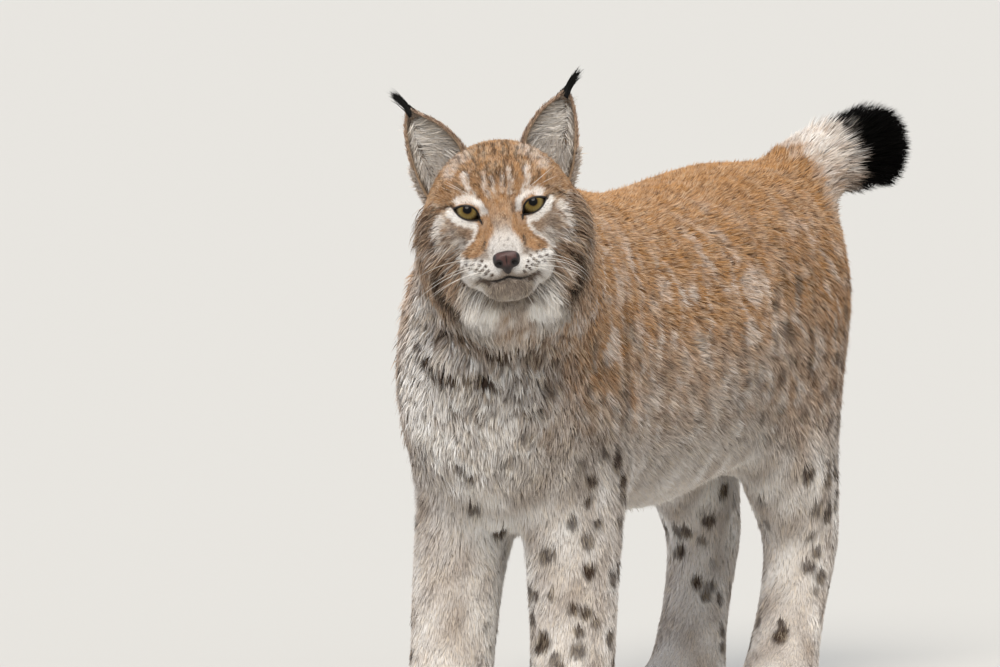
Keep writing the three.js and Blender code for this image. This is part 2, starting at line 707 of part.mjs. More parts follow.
// The brush: a dense core, and rings of locks that flare out along the tail
const BRUSH_REACH = [49, 50, 42, 20]; // how far each ring's tips stand from the tail's middle
const BRUSH_RINGS = [[0.62, 7], [0.77, 7], [0.89, 6], [0.96, 4]];
function brush() {
  const locks = [];
  BRUSH_RINGS.forEach(([t, count], ring) => {
    const along = tailCurve.getTangent(t);
    const u = new THREE.Vector3().crossVectors(along, Z).normalize();
    const v = new THREE.Vector3().crossVectors(u, along);
    for (let i = 0; i < count; i++) {
      const angle = ((i + 0.5 * (ring % 2) + vary(-0.15, 0.15)) / count) * 2 * Math.PI;
      const out = u.clone().multiplyScalar(Math.cos(angle)).addScaledVector(v, Math.sin(angle));
      const reach = BRUSH_REACH[ring] + vary(-3, 3);
      const root = tailCurve.getPoint(t).addScaledVector(out, 18).addScaledVector(along, -8);
      const tip = tailCurve
        .getPoint(t)
        .addScaledVector(out, reach)
        .addScaledVector(along, vary(22, 28));
      const bow = out.clone().multiplyScalar(11);
      locks.push(furLock(root, tip, { width: vary(28, 34), thick: vary(8, 10), bow, facing: out }));
    }
  });
  return wasm.Manifold.union(locks);
}
const brushCore = keepAhead(wholeTail, BRUSH_CUT);
const brushLocks = keepAhead(brush(), BRUSH_CUT).subtract(brushRoom);
addNode("tail_brush", brushCore.add(brushLocks), BLACK);

// The origin is the middle of the whole animal's box, on the ground
const reach = new THREE.Box3().setFromObject(lynx);
const middle = reach.getCenter(new THREE.Vector3());
for (const mesh of lynx.children) mesh.geometry.translate(-middle.x, -middle.y, -reach.min.z);

export default lynx;
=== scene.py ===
# %% [markdown]
# # A Eurasian lynx that stands and looks at you
# The solids give the animal's place and outer size. Here it gets its looks: one skin, a coat of
# several hundred thousand tufts, and eyes, nose, ears and whiskers that are made one by one.
# All of it is mesh, since a mesh is what any other program can open. The random numbers come from
# one seeded source, so each run makes the same animal.
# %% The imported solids
import math
import bmesh
import bpy
import numpy as np
from mathutils import Matrix, Vector
from mathutils.bvhtree import BVHTree


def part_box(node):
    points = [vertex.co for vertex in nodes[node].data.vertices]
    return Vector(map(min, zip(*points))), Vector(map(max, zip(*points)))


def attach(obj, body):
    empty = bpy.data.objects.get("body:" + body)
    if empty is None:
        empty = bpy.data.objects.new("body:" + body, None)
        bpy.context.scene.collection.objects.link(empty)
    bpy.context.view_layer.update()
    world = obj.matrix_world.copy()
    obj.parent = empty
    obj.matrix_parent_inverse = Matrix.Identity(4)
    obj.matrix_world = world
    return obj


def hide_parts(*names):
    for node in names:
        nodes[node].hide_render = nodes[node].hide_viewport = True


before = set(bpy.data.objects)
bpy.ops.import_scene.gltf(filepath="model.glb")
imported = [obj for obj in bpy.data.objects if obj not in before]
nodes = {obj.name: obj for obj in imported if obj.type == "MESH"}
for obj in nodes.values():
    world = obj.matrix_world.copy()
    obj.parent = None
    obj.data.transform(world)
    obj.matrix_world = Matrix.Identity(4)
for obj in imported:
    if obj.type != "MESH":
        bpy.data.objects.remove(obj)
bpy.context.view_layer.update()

scene = bpy.context.scene
draw = np.random.default_rng(11)

# %% [markdown]
# ## Places
# The sizes below are millimetres, as a sculptor would measure the animal. Two places matter: the
# stance, which the body is measured from, and the head's own frame, whose origin lies midway
# between the eyes with -Y out of the face. The head is turned, tilted and lifted. Its parts could
# be made in place, but a slanted face is hard to keep even, so they are made straight and turned
# afterwards.
# %% Places
MM = 0.001
STANCE = np.array([-28.41, -232.05, 0.0])
HEAD_POINT = np.array([76.59, -462.05, 590.0])


def turn(axis, degrees):
    return np.array(Matrix.Rotation(math.radians(degrees), 3, axis))


HEAD_TURN = turn("Z", 28) @ turn("Y", -7) @ turn("X", -4)


def from_head(place):
    return HEAD_POINT + np.asarray(place, float) @ HEAD_TURN.T


def to_head(place):
    return (place - HEAD_POINT) @ HEAD_TURN


EYE = np.array([33.5, 16.0, -1.0])
EYE_R = 15.5
seen = np.mean(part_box("eye_left"), axis=0) / MM
print("left eye off its solid by", np.round(np.linalg.norm(from_head(EYE) - seen), 2), "mm")

# %% [markdown]
# ## Camera
# A long lens far away sees the animal as the photograph does, with its sides nearly parallel. A
# near camera would swell the head. This one looks along the animal's left front, a little
# downwards, and its place is worked out from the head, so that the head keeps its spot in the view.
# %% Camera
AZIMUTH, ELEVATION = math.radians(28), math.radians(4)
AWAY = 6.5  # metres from the head
SENSOR = 36  # the film's width in millimetres
LENS = 6.5 * SENSOR  # at 6.5 m it sees just 1 m across
HEAD_OFF = (0.0004, 0.1255)  # how far right of and above the middle of the view the head lies
look = np.array([
    -math.sin(AZIMUTH) * math.cos(ELEVATION),
    math.cos(AZIMUTH) * math.cos(ELEVATION),
    -math.sin(ELEVATION),
])
right = np.array([math.cos(AZIMUTH), math.sin(AZIMUTH), 0.0])
up = np.cross(right, look)
eye_point = HEAD_POINT * MM - AWAY * look - right * HEAD_OFF[0] - up * HEAD_OFF[1]
camera = bpy.data.objects.new("camera", bpy.data.cameras.new("camera"))
scene.collection.objects.link(camera)
camera.data.sensor_width = SENSOR
camera.data.lens = LENS
camera.data.clip_end = 250
camera.matrix_world = Matrix([
    [right[i], up[i], -look[i], eye_point[i]] for i in range(3)
] + [[0, 0, 0, 1]])
scene.camera = camera
scene.view_settings.view_transform = "Standard"
print("camera stands", round(eye_point[2], 2), "m high")

# %% [markdown]
# ## Finishes, first helpers
# Each finish is a material with one Principled shader and a few nodes. Three helpers keep them
# short: one makes the material and sets what is even all over, one adds a node, and one reads a
# paint chip's code.
# %% Helpers for finishes
def material(name, **values):
    made = bpy.data.materials.new(name)
    made.use_nodes = True
    shader = made.node_tree.nodes["Principled BSDF"]
    for socket, value in values.items():
        shader.inputs[socket.replace("_", " ")].default_value = value
    return made, made.node_tree, shader


def add_node(tree, kind, **settings):
    made = tree.nodes.new(kind)
    for key, value in settings.items():
        setattr(made, key, value)
    return made


def rgb(text):
    """A paint chip's code as the linear light that the shader wants."""
    parts = [int(text[i:i + 2], 16) / 255 for i in (0, 2, 4)]
    return (*[v / 12.92 if v <= 0.04045 else ((v + 0.055) / 1.055) ** 2.4 for v in parts], 1.0)


print("a middle grey as light:", [round(v, 3) for v in rgb("808080")])

# %% [markdown]
# ## Floor
# The stand is plain pale paper, so large that its end is lost in the sky. A curved backdrop would
# do the same from one side only, and this model is looked at from all round.
# %% Floor
floor_mesh = bpy.data.meshes.new("floor")
FAR = 70
floor_mesh.from_pydata(
    [(-FAR, -FAR, 0), (FAR, -FAR, 0), (FAR, FAR, 0), (-FAR, FAR, 0)], [], [(0, 1, 2, 3)])
floor = bpy.data.objects.new("floor", floor_mesh)
scene.collection.objects.link(floor)
paper, tree, shader = material("floor_paper", Base_Color=rgb("c2c0bb"), Roughness=0.9)
grain = add_node(tree, "ShaderNodeTexNoise")
grain.inputs["Scale"].default_value = 90
press = add_node(tree, "ShaderNodeBump")
press.inputs["Strength"].default_value = 0.04
tree.links.new(grain.outputs["Fac"], press.inputs["Height"])
tree.links.new(press.outputs["Normal"], shader.inputs["Normal"])
floor_mesh.materials.append(paper)
print("floor:", 2 * FAR, "m across")

# %% [markdown]
# ## Light
# Fur needs large, soft lamps: a small one would glitter on every hair. Broad suns light the floor
# as evenly as a studio's ceiling: one from above and in front, a weaker one from straight above and
# the weakest from the left, and a pale sky does the rest.
# %% Lamps and sky
sky = bpy.data.worlds.new("sky")
sky.use_nodes = True
sky.node_tree.nodes["Background"].inputs["Color"].default_value = rgb("e4e8ee")
sky.node_tree.nodes["Background"].inputs["Strength"].default_value = 0.72
scene.world = sky


def lamp(name, place, power, colour, softness):
    light = bpy.data.lights.new(name, "SUN")
    light.energy = power
    light.angle = math.radians(softness)
    light.color = rgb(colour)[:3]
    made = bpy.data.objects.new(name, light)
    made.location = place
    made.rotation_euler = (-Vector(place)).to_track_quat("-Z", "Y").to_euler()
    scene.collection.objects.link(made)


lamp("key", (0.9, -2.4, 3.0), 2.35, "fff8ee", 28)
lamp("top", (0.6, 0.9, 3.0), 1.0, "ffffff", 40)
lamp("fill", (-3.0, -1.4, 1.4), 0.55, "eef2ff", 50)

# %% [markdown]
# ## Fields
# A skull and its flesh are round forms that melt into one another. They could be sculpted, or
# joined from spheres with a remesh, but a sculpture can't be measured again. So each is a field
# here, a number that is negative inside, and smooth_min melts two of them. Walking out from a
# centre until the field ends finds the surface, at any fineness.
# %% Fields
def smooth_min(a, b, k):
    h = np.maximum(k - np.abs(a - b), 0) / k
    return np.minimum(a, b) - h * h * k / 4


def melt(k, *fields):
    def field(p):
        total = fields[0](p)
        for other in fields[1:]:
            total = smooth_min(total, other(p), k)
        return total
    return field


def carve(k, form, tool):
    return lambda p: -smooth_min(-form(p), tool(p), k)


def ellipsoid(x, y, z, rx, ry, rz):
    centre, size = np.array([x, y, z], float), np.array([rx, ry, rz], float)

    def field(p):
        q = (p - centre) / size
        k0 = np.linalg.norm(q, axis=1)
        k1 = np.maximum(np.linalg.norm(q / size, axis=1), 1e-9)
        return k0 * (k0 - 1) / k1
    return field


def ball(x, y, z, r):
    return lambda p: np.linalg.norm(p - np.array([x, y, z]), axis=1) - r


def cone(start, r1, end, r2):
    a = np.array(start, float)
    line = np.array(end, float) - a

    def field(p):
        t = np.clip((p - a) @ line / (line @ line), 0, 1)
        return np.linalg.norm(p - a - t[:, None] * line, axis=1) - r1 - (r2 - r1) * t
    return field


def walk_out(field, centre, aims, stride=3.0, farthest=230.0):
    near = np.zeros(len(aims))
    going = np.ones(len(aims), bool)
    for step in np.arange(stride, farthest, stride):
        inside = np.zeros(len(aims), bool)
        inside[going] = field(centre + aims[going] * step) < 0
        going &= inside
        near[going] = step
    far = near + stride
    for _ in range(10):
        middle = (near + far) / 2
        inside = field(centre + aims * middle[:, None]) < 0
        near, far = np.where(inside, middle, near), np.where(inside, far, middle)
    return (near + far) / 2


def pair(make):
    return [make(1), make(-1)]


found = walk_out(ball(0, 0, 0, 10), np.zeros(3), np.eye(3))
print("a ball of 10 mm is found at", found.round(2).tolist())

# %% [markdown]
# ## The head's form
# A lynx has a broad, short head: a round braincase with heavy cheekbones, a short muzzle with two
# whisker pads, and a small chin. Each of these is an ellipsoid or a cone, in the head's own frame.
# Sockets are carved for the eyes, and each eye gets a ball of lid over it.
# %% Form of the head
skull = melt(
    26,
    ellipsoid(0, 68, 6, 72, 62, 66),
    *pair(lambda s: ellipsoid(s * 38, 52, -24, 47, 43, 48)),
    *pair(lambda s: ellipsoid(s * 28, 48, -58, 38, 35, 32)),
)
face = melt(
    14,
    skull,
    cone((0, 25, 26), 24, (0, 9, -6), 18),
    cone((0, 9, -6), 18, (0, -28, -40), 18),
    ellipsoid(0, 0, -49, 36, 34, 26),
    *pair(lambda s: ellipsoid(s * 36, 25, -22, 28, 22, 26)),
    *pair(lambda s: ellipsoid(s * 16.5, -22, -57, 20, 21.5, 15.5)),
    *pair(lambda s: ellipsoid(s * 28, 4, -60, 18, 26, 18)),
    ellipsoid(0, -9, -80, 24, 24, 15.5),
    *pair(lambda s: ellipsoid(s * 33, 24, 22, 26, 15, 14)),
)
LID = 2.2
sockets = melt(4, *pair(lambda s: ellipsoid(s * 30.5, -4, -4, 16, 9.5, 8)))
lids = melt(4, *pair(lambda s: ball(s * EYE[0], EYE[1], EYE[2], EYE_R + LID)))
head_form = melt(6, carve(8, face, sockets), lids)
HEAD_CENTRE = np.array([0.0, 44.0, -24.0])


def sphere_points(detail, crowd=(0, 0, 0)):
    bm = bmesh.new()
    bmesh.ops.create_icosphere(bm, subdivisions=detail, radius=1)
    aims = np.array([v.co for v in bm.verts]) + np.array(crowd)
    faces = [[v.index for v in f.verts] for f in bm.faces]
    bm.free()
    return aims / np.linalg.norm(aims, axis=1)[:, None], faces


aims, head_faces = sphere_points(5, (0, -0.3, -0.1))
head_core = HEAD_CENTRE + aims * walk_out(head_form, HEAD_CENTRE, aims)[:, None]
print("head is", np.round(np.ptp(head_core, axis=0)).tolist(), "mm wide, deep and tall")

# %% [markdown]
# ## The tail's course
# The short tail rises and curls to one side. A table gives its middle and radius at six places,
# and a smooth reading of the table gives them anywhere. A Blender curve would draw it too, but the
# skin, the coat and the markings all have to ask where the tail runs.
# %% Course of the tail
def smooth_rows(rows):
    """Reads a table smoothly: the first column is the place along it."""
    rows = np.array(rows, float)

    def read(t):
        t = np.clip(np.asarray(t, float), rows[0, 0], rows[-1, 0])
        i = np.clip(np.searchsorted(rows[:, 0], t) - 1, 0, len(rows) - 2)
        h = rows[i + 1, 0] - rows[i, 0]
        s = ((t - rows[i, 0]) / h)[..., None]
        slope = np.gradient(rows[:, 1:], rows[:, 0], axis=0)
        a, b, hh = rows[i, 1:], rows[i + 1, 1:], h[..., None]
        return (
            a * (1 + 2 * s) * (1 - s) ** 2 + b * s ** 2 * (3 - 2 * s)
            + slope[i] * hh * s * (1 - s) ** 2 + slope[i + 1] * hh * s ** 2 * (s - 1)
        )
    return read


TAIL = smooth_rows([
    [0.0, 0, 548, 518, 40], [0.2, 22, 606, 566, 46], [0.4, 44, 638, 600, 43],
    [0.6, 67, 664, 610, 38], [0.8, 84, 686, 617, 32], [1.0, 98, 702, 617, 22],
])


def unit(v):
    return v / np.maximum(np.linalg.norm(v, axis=-1, keepdims=True), 1e-9)


def tail_frame(t):
    """The tail's middle, its direction and two sideways directions, at places t from 0 to 1."""
    t = np.asarray(t, float)
    middle = TAIL(t)[..., :3] + STANCE
    along = unit(TAIL(t + 0.02)[..., :3] - TAIL(t - 0.02)[..., :3])
    side = unit(np.cross(along, [0, 0, 1]))
    return middle, along, side, np.cross(side, along)


course = tail_frame(np.linspace(0, 1, 50))[0]
print("tail is", round(np.linalg.norm(np.diff(course, axis=0), axis=1).sum()), "mm long")

# %% [markdown]
# ## One skin
# The solids of flesh are parted for the maker's sake; the animal isn't. They are swelled until they
# meet, the head and the tail's core are added, and a voxel remesh turns the heap into one closed
# skin. Boolean unions would keep every facet and often fail where faces graze. The locks that
# stand on the solids are left out, because the coat grows its own.
# %% Joining the flesh
SWELL = 0.0008
VOXEL = 0.0042
SIDES = ("left", "right")
heap = bmesh.new()
FLESH = ["torso", "neck", "tail_base"] + [
    f"{end}{part}_{side}" for end in ("fore", "hind") for part in ("leg", "paw") for side in SIDES
]
for name in FLESH:
    part = bmesh.new()
    part.from_mesh(nodes[name].data)
    for v in part.verts:
        v.co += v.normal * SWELL
    spare = bpy.data.meshes.new("spare")
    part.to_mesh(spare)
    heap.from_mesh(spare)
    part.free()
    bpy.data.meshes.remove(spare)


def heap_up(points, faces):
    made = [heap.verts.new(p * MM) for p in points]
    for corners in faces:
        heap.faces.new([made[i] for i in corners])


heap_up(from_head(head_core), head_faces)
ball_aims, ball_faces = sphere_points(3)
for t in np.linspace(0.45, 1, 12):
    heap_up(tail_frame(t)[0] + ball_aims * TAIL(t)[3], ball_faces)
flesh = bpy.data.meshes.new("flesh")
heap.to_mesh(flesh)
heap.free()
skin = bpy.data.objects.new("skin", flesh)
scene.collection.objects.link(skin)
remesh = skin.modifiers.new("voxels", "REMESH")
remesh.mode = "VOXEL"
remesh.voxel_size = VOXEL


def baked(obj):
    """The object's mesh with its modifiers worked in."""
    seen_now = bpy.context.evaluated_depsgraph_get()
    return bpy.data.meshes.new_from_object(obj.evaluated_get(seen_now))


whole = baked(skin)
skin.modifiers.clear()
print("skin after the remesh:", len(whole.polygons), "faces")

# %% [markdown]
# ## Easing
# Voxels leave steps, so the points are eased towards their neighbours, like clay under a thumb.
# Blender's Smooth modifier does the same, but here the hold on each point can vary: the face keeps
# its form while the body is eased.
# %% Easing
def read(data, what, size=3, kind=np.float64):
    out = np.empty(len(data) * size, kind)
    data.foreach_get(what, out)
    return out.reshape(-1, size) if size > 1 else out


def ease(values, edges, rounds, hold=None):
    share = 1 / np.maximum(np.bincount(edges.ravel(), minlength=len(values)), 1)[:, None]
    values = values.copy()
    for _ in range(rounds):
        mean = np.stack([
            np.bincount(edges[:, 0], values[edges[:, 1], k], len(values))
            + np.bincount(edges[:, 1], values[edges[:, 0], k], len(values))
            for k in range(values.shape[1])
        ], axis=1) * share
        moved = values + 0.5 * (mean - values)
        values = moved if hold is None else values + (moved - values) * hold[:, None]
    return values


def sstep(low, high, value):
    t = np.clip((value - low) / (high - low), 0, 1)
    return t * t * (3 - 2 * t)


points = read(whole.vertices, "co")
edges = read(whole.edges, "vertices", 2, np.int32)
eased = ease(points, edges, 8)
whole.vertices.foreach_set("co", eased.ravel())
print("eased by", round(np.abs(eased - points).max() / MM, 1), "mm at most")

# %% [markdown]
# ## Toes
# Four toes end each paw, with a gap between each two, and thick fur rounds them off. The gaps are
# a field of their own, which first shapes the skin and later darkens the fur in them as painted
# shade.
# %% Gaps between the toes
# Each paw's middle from side to side, and its front.
PAW_BOXES = [
    np.array(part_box(f"{end}paw_{side}")) / MM for end in ("fore", "hind") for side in SIDES
]
PAWS = [(np.mean(box[:, 0]), box[0, 1]) for box in PAW_BOXES]


def toe_gaps(place):
    """How deep in a gap between two toes each place lies, from 0 to 1."""
    deep = np.zeros(len(place))
    for middle, front in PAWS:
        across, back = place[:, 0] - middle, place[:, 1] - front
        near = sstep(60, 40, back) * sstep(46, 32, place[:, 2])
        near *= (np.abs(across) < 50) * (back > -20)
        spread = 24 - 4 * np.clip((back - 12) / 40, 0, 1)
        for gap in (-1, 0, 1):
            deep = np.maximum(deep, near * np.exp(-((across - gap * spread) / 3.6) ** 2))
    return deep


print("paws at", [(round(float(middle)), round(float(front))) for middle, front in PAWS])

# %% [markdown]
# ## Splitting
# The face needs five times the fineness of the flank, so its faces are split twice where the eyes,
# nose and mouth lie, and the toes' once. One fine remesh of everything would take ten times the
# points, and nearly all of them would lie under long fur.
# %% Splitting the faces
TOE_BOX = np.array([54, 36, 50])
FACE_BOXES = [((-70, -60, -104), (70, 66, 62)), ((-56, -60, -98), (56, 36, 34))]
centres = read(whole.polygons, "center") / MM
on_toes = np.zeros(len(centres), bool)
for middle, front in PAWS:
    on_toes |= np.all(np.abs(centres - [middle, front + 28, 0]) < TOE_BOX, axis=1)
bm = bmesh.new()
bm.from_mesh(whole)
bm.faces.ensure_lookup_table()
rim = list({e for i in np.flatnonzero(on_toes) for e in bm.faces[i].edges})
bmesh.ops.subdivide_edges(bm, edges=rim, cuts=1, use_grid_fill=True)
for low, high in FACE_BOXES:
    near = []
    for f in bm.faces:
        p = to_head(np.array(f.calc_center_median()) / MM)
        if np.all(p > low) and np.all(p < high):
            near.append(f)
    rim = list({e for f in near for e in f.edges})
    bmesh.ops.subdivide_edges(bm, edges=rim, cuts=1, use_grid_fill=True)
bmesh.ops.triangulate(bm, faces=[f for f in bm.faces if len(f.verts) > 4])
bm.to_mesh(whole)
bm.free()
skin.data = whole
print("skin after splitting:", len(whole.vertices), "points")

# %% [markdown]
# ## The lie of the coat
# Fur grows backwards from the nose and downwards along the legs. Combing a hair system by hand
# would show that too, but can't be repeated. Guides set it out as on a furrier's plan: where the
# guide stands, which way the hair runs there, how far the guide reaches, how long the hair is, how
# high it stands, and how wide a tuft is. In between, near guides are mixed.
# %% Guides for the coat
# x, y, z, run x, y, z, reach, length, height, width. The body's are measured in the stance.
BODY_GUIDES = [
    (0, 30, 598, 0, 1, 0, 90, 16, 6, 1.23), (0, 180, 583, 0, 1, 0, 100, 16, 6, 1.23),
    (0, 340, 588, 0, 1, 0.05, 100, 16, 6, 1.23), (0, 480, 606, 0, 1, 0, 80, 15, 6, 1.23),
    (0, 600, 575, 0.1, 0.9, 0.2, 50, 13.2, 6, 1.19), (0, 655, 480, 0, 0.3, -1, 60, 16, 6.8, 1.23),
    (96, 40, 490, 0, 0.6, -0.7, 90, 16, 6.8, 1.23),
    (104, 180, 480, 0, 0.9, -0.4, 90, 17.9, 7.5, 1.23),
    (108, 320, 480, 0, 0.9, -0.4, 90, 17.9, 7.5, 1.23),
    (104, 460, 500, 0, 0.7, -0.6, 80, 16, 6.8, 1.23),
    (104, 150, 350, 0, 0.85, -0.5, 80, 18.7, 9, 1.29),
    (108, 290, 350, 0, 0.85, -0.5, 80, 18.7, 9, 1.29),
    (60, 200, 250, 0, 0.9, -0.4, 70, 18.8, 9, 1.29),
    (60, 320, 250, 0, 0.9, -0.4, 70, 18.8, 9, 1.29), (0, 120, 246, 0, 0.8, -0.5, 80, 18.8, 9, 1.29),
    (0, 400, 262, 0, 0.5, -0.8, 70, 16.9, 7.5, 1.23),
    (98, -10, 400, 0, 0.25, -1, 80, 15, 6.8, 1.19),
    (70, -60, 330, 0, 0.1, -1, 60, 13.2, 6, 1.13),
    (10, -120, 400, 0, 0.2, -1, 70, 19.7, 11.2, 1.34),
    (10, -80, 290, 0, 0.4, -1, 60, 18.8, 9.8, 1.29),
    (112, 520, 420, 0, 0.35, -0.95, 90, 14.1, 6, 1.19),
    (112, 440, 380, 0, 0.3, -1, 80, 15, 6.8, 1.19), (60, 610, 400, 0, 0.25, -1, 70, 16, 6.8, 1.23),
    (100, 500, 300, 0, 0.3, -1, 60, 14.1, 4.5, 1.47),
    (60, 10, 250, 0, 0.05, -1, 70, 12.2, 3.8, 1.03),
    (60, 0, 160, 0, 0, -1, 60, 15, 3, 1.61), (60, 0, 90, 0, 0, -1, 50, 12, 2.5, 1.51),
    (60, -10, 40, 0, -0.5, -0.9, 34, 9, 2, 1.34), (60, -60, 26, 0, -0.9, -0.6, 34, 8, 1.7, 1.24),
    (60, 40, 20, 0, 0.1, -1, 34, 9, 2, 1.34), (66, 540, 200, 0, 0, -1, 60, 16, 3, 1.69),
    (66, 550, 120, 0, 0, -1, 50, 12, 2.5, 1.51), (66, 510, 50, 0, -0.4, -0.9, 36, 9, 2, 1.34),
    (66, 460, 26, 0, -0.9, -0.6, 36, 8, 1.7, 1.24), (66, 560, 20, 0, 0.1, -1, 36, 9, 2, 1.34),
]
NECK_GUIDES = [
    (20, -10, 590, -0.2, 1, 0, 70, 16.5, 7.5, 1.23),
    (60, -90, 620, -0.2, 1, -0.1, 70, 15.6, 9, 1.23),
    (110, -30, 500, -0.2, 0.9, -0.5, 80, 17.5, 8.2, 1.23),
    (140, -110, 530, -0.3, 0.8, -0.6, 70, 17.5, 9, 1.23),
    (-60, -60, 520, 0.1, 0.6, -0.8, 80, 17.5, 9, 1.23),
    (40, -150, 470, 0, 0.25, -1, 70, 21.1, 12, 1.34),
    (-30, -120, 470, 0, 0.3, -1, 70, 20.2, 11.2, 1.34),
    (100, -110, 460, -0.1, 0.4, -1, 60, 20.2, 10.5, 1.29),
]
HEAD_GUIDES = [
    (0, -30, -40, 0, 0.5, 1, 14, 3.6, 0.8, 0.7), (0, -10, -20, 0, 0.4, 1, 16, 4.6, 1.0, 0.7),
    (0, 6, 5, 0, 0.2, 1, 18, 5.6, 1.3, 0.8), (0, 14, 34, 0, 0.5, 1, 22, 7, 1.6, 0.85),
    (0, 40, 66, 0, 1, 0.6, 28, 8.5, 2.4, 0.95), (0, 90, 66, 0, 1, -0.2, 36, 12, 3.6, 1.1),
    (14, -4, -16, 0.15, 0.6, 1, 12, 3.8, 0.9, 0.7), (20, 4, 6, 0.4, 0.3, 1, 12, 4.2, 1.1, 0.75),
    (34, 8, 16, 0.5, 0.5, 1, 14, 4.6, 1.2, 0.75), (34, 8, -17, 0.9, 0.5, -0.3, 12, 3.8, 1, 0.7),
    (24, 2, -26, 0.9, 0.6, -0.1, 14, 4.4, 1.1, 0.75), (50, 18, 2, 0.9, 0.8, 0.1, 12, 5.2, 1.3, 0.8),
    (40, 24, 36, 0.5, 0.7, 0.9, 22, 8, 1.8, 0.9), (60, 40, 10, 0.5, 1, -0.1, 22, 8, 2.4, 0.9),
    (52, 18, -26, 0.8, 0.8, -0.35, 18, 7, 2, 0.85), (70, 44, -20, 0.55, 0.6, -0.7, 22, 11, 3.8, 1),
    (12, -40, -62, 0.6, 0.3, -0.6, 10, 3.6, 0.8, 0.65),
    (20, -36, -56, 1, 0.6, -0.25, 12, 4.2, 1, 0.7),
    (32, -20, -58, 0.8, 0.9, -0.3, 14, 6, 1.4, 0.75), (40, 4, -56, 0.6, 0.9, -0.5, 18, 8, 2.4, 0.9),
    (0, -32, -80, 0, 0.2, -1, 12, 5.4, 1.4, 0.8), (12, -24, -88, 0.2, 0.4, -1, 14, 8, 2, 0.85),
    (27, -10, -80, 0.7, 0.3, -0.8, 12, 13, 4.5, 0.9),
    (48, 20, -64, 0.5, 0.4, -0.9, 20, 13, 4.6, 0.95),
    (28, 20, -92, 0.3, 0.3, -1, 22, 17, 7, 1.05), (0, 20, -98, 0, 0.4, -1, 26, 17, 7, 1.1),
    (76, 60, -50, 0.4, 0.6, -0.8, 26, 16, 7, 1.1), (70, 80, 20, 0.3, 1, -0.4, 30, 12, 4.2, 1.05),
    (40, 120, 10, 0.1, 0.8, -0.6, 44, 15, 5.5, 1.2),
]

print("guides set out:", len(BODY_GUIDES), len(NECK_GUIDES), len(HEAD_GUIDES))

# %% [markdown]
# The plan's right half mirrors its left. The head's guides are turned with the head, and the
# tail's follow its course, leaning outwards, four round each place.
# %% Mixing the guides
def both_sides(rows):
    rows = np.array(rows, float)
    other = rows[rows[:, 0] != 0] * np.array([-1, 1, 1, -1, 1, 1, 1, 1, 1, 1])
    return np.vstack([rows, other])


def guide_table():
    body, head = both_sides(BODY_GUIDES), both_sides(HEAD_GUIDES)
    neck = np.array(NECK_GUIDES, float)
    for rows in (body, neck):
        rows[:, :3] += STANCE
    head[:, :3] = from_head(head[:, :3])
    head[:, 3:6] = head[:, 3:6] @ HEAD_TURN.T
    along = np.linspace(0, 1, 6)
    middle, run, side, over = tail_frame(along)
    tail = []
    for k in range(6):
        for out in (side[k], -side[k], over[k], -over[k]):
            rod = 22 if along[k] < 0.5 else 30
            tail.append([*(middle[k] + out * 30), *(run[k] + out * 0.25), 26, rod, 8, 1.5])
    table = np.vstack([body, neck, head, np.array(tail)])
    table[:, 3:6] = unit(table[:, 3:6])
    return table


GUIDES = guide_table()


def in_parts(work, place, size=40000):
    """Runs `work` on a long list of places a part at a time, which spares the memory."""
    return np.concatenate([work(place[i:i + size]) for i in range(0, len(place), size)])


def coat_at(place):
    """Run of the hair (3), its length, height and width at places in millimetres."""
    def work(p):
        gap = np.linalg.norm(p[:, None] - GUIDES[None, :, :3], axis=2) / GUIDES[:, 6]
        near = gap.min(axis=1, keepdims=True)
        weight = np.exp(-(gap ** 2 - near ** 2)) / GUIDES[:, 6]
        weight /= weight.sum(axis=1, keepdims=True)
        return weight @ GUIDES[:, [3, 4, 5, 7, 8, 9]]
    return in_parts(work, place)


print("guides:", len(GUIDES))

# %% [markdown]
# ## Lines of the face
# A cat's eye is an almond with its inner corner low, and its mouth a shallow bow. Both are drawn
# as seen from the front, because that is how their slant is judged. The skin, the bare rims and
# the coat all read the same lines, so they can't part.
# %% Lids and mouth
def bezier(a, b, c, d, count=24):
    t = np.linspace(0, 1, count)[:, None]
    a, b, c, d = (np.array(v, float) for v in (a, b, c, d))
    return a * (1 - t) ** 3 + 3 * b * t * (1 - t) ** 2 + 3 * c * t ** 2 * (1 - t) + d * t ** 3


UPPER_LID = bezier((21.5, -9), (22, 5.5), (33, 9), (47, 5))
LOWER_LID = bezier((47, 5), (42.5, -5.5), (34, -10.5), (21.5, -9))[::-1]
MOUTH = np.array([
    (0, -69.5), (5, -71), (12, -72.5), (18, -72), (24, -70), (28, -67.6), (31, -65.5),
], float)


def line_gap(x, z, line):
    """Distance from (x, z) to a line of points, seen from the front of the face."""
    best = np.full(len(x), 1e6)
    for (x0, z0), (x1, z1) in zip(line[:-1], line[1:]):
        dx, dz = x1 - x0, z1 - z0
        t = np.clip(((x - x0) * dx + (z - z0) * dz) / (dx * dx + dz * dz), 0, 1)
        best = np.minimum(best, np.hypot(x - x0 - t * dx, z - z0 - t * dz))
    return best


def eye_opening(x, z):
    """Above 0 inside the slit between the lids, in millimetres from its edge."""
    ax = np.abs(x)
    top = np.interp(ax, UPPER_LID[:, 0], UPPER_LID[:, 1])
    low = np.interp(ax, LOWER_LID[:, 0], LOWER_LID[:, 1])
    inside = (ax > 21.5) & (ax < 47)
    return np.where(inside, np.minimum(top - z, z - low), -5.0)

print("eye is", round(np.ptp(UPPER_LID[:, 0]), 1), "mm long, mouth", 2 * MOUTH[-1, 0], "mm wide")

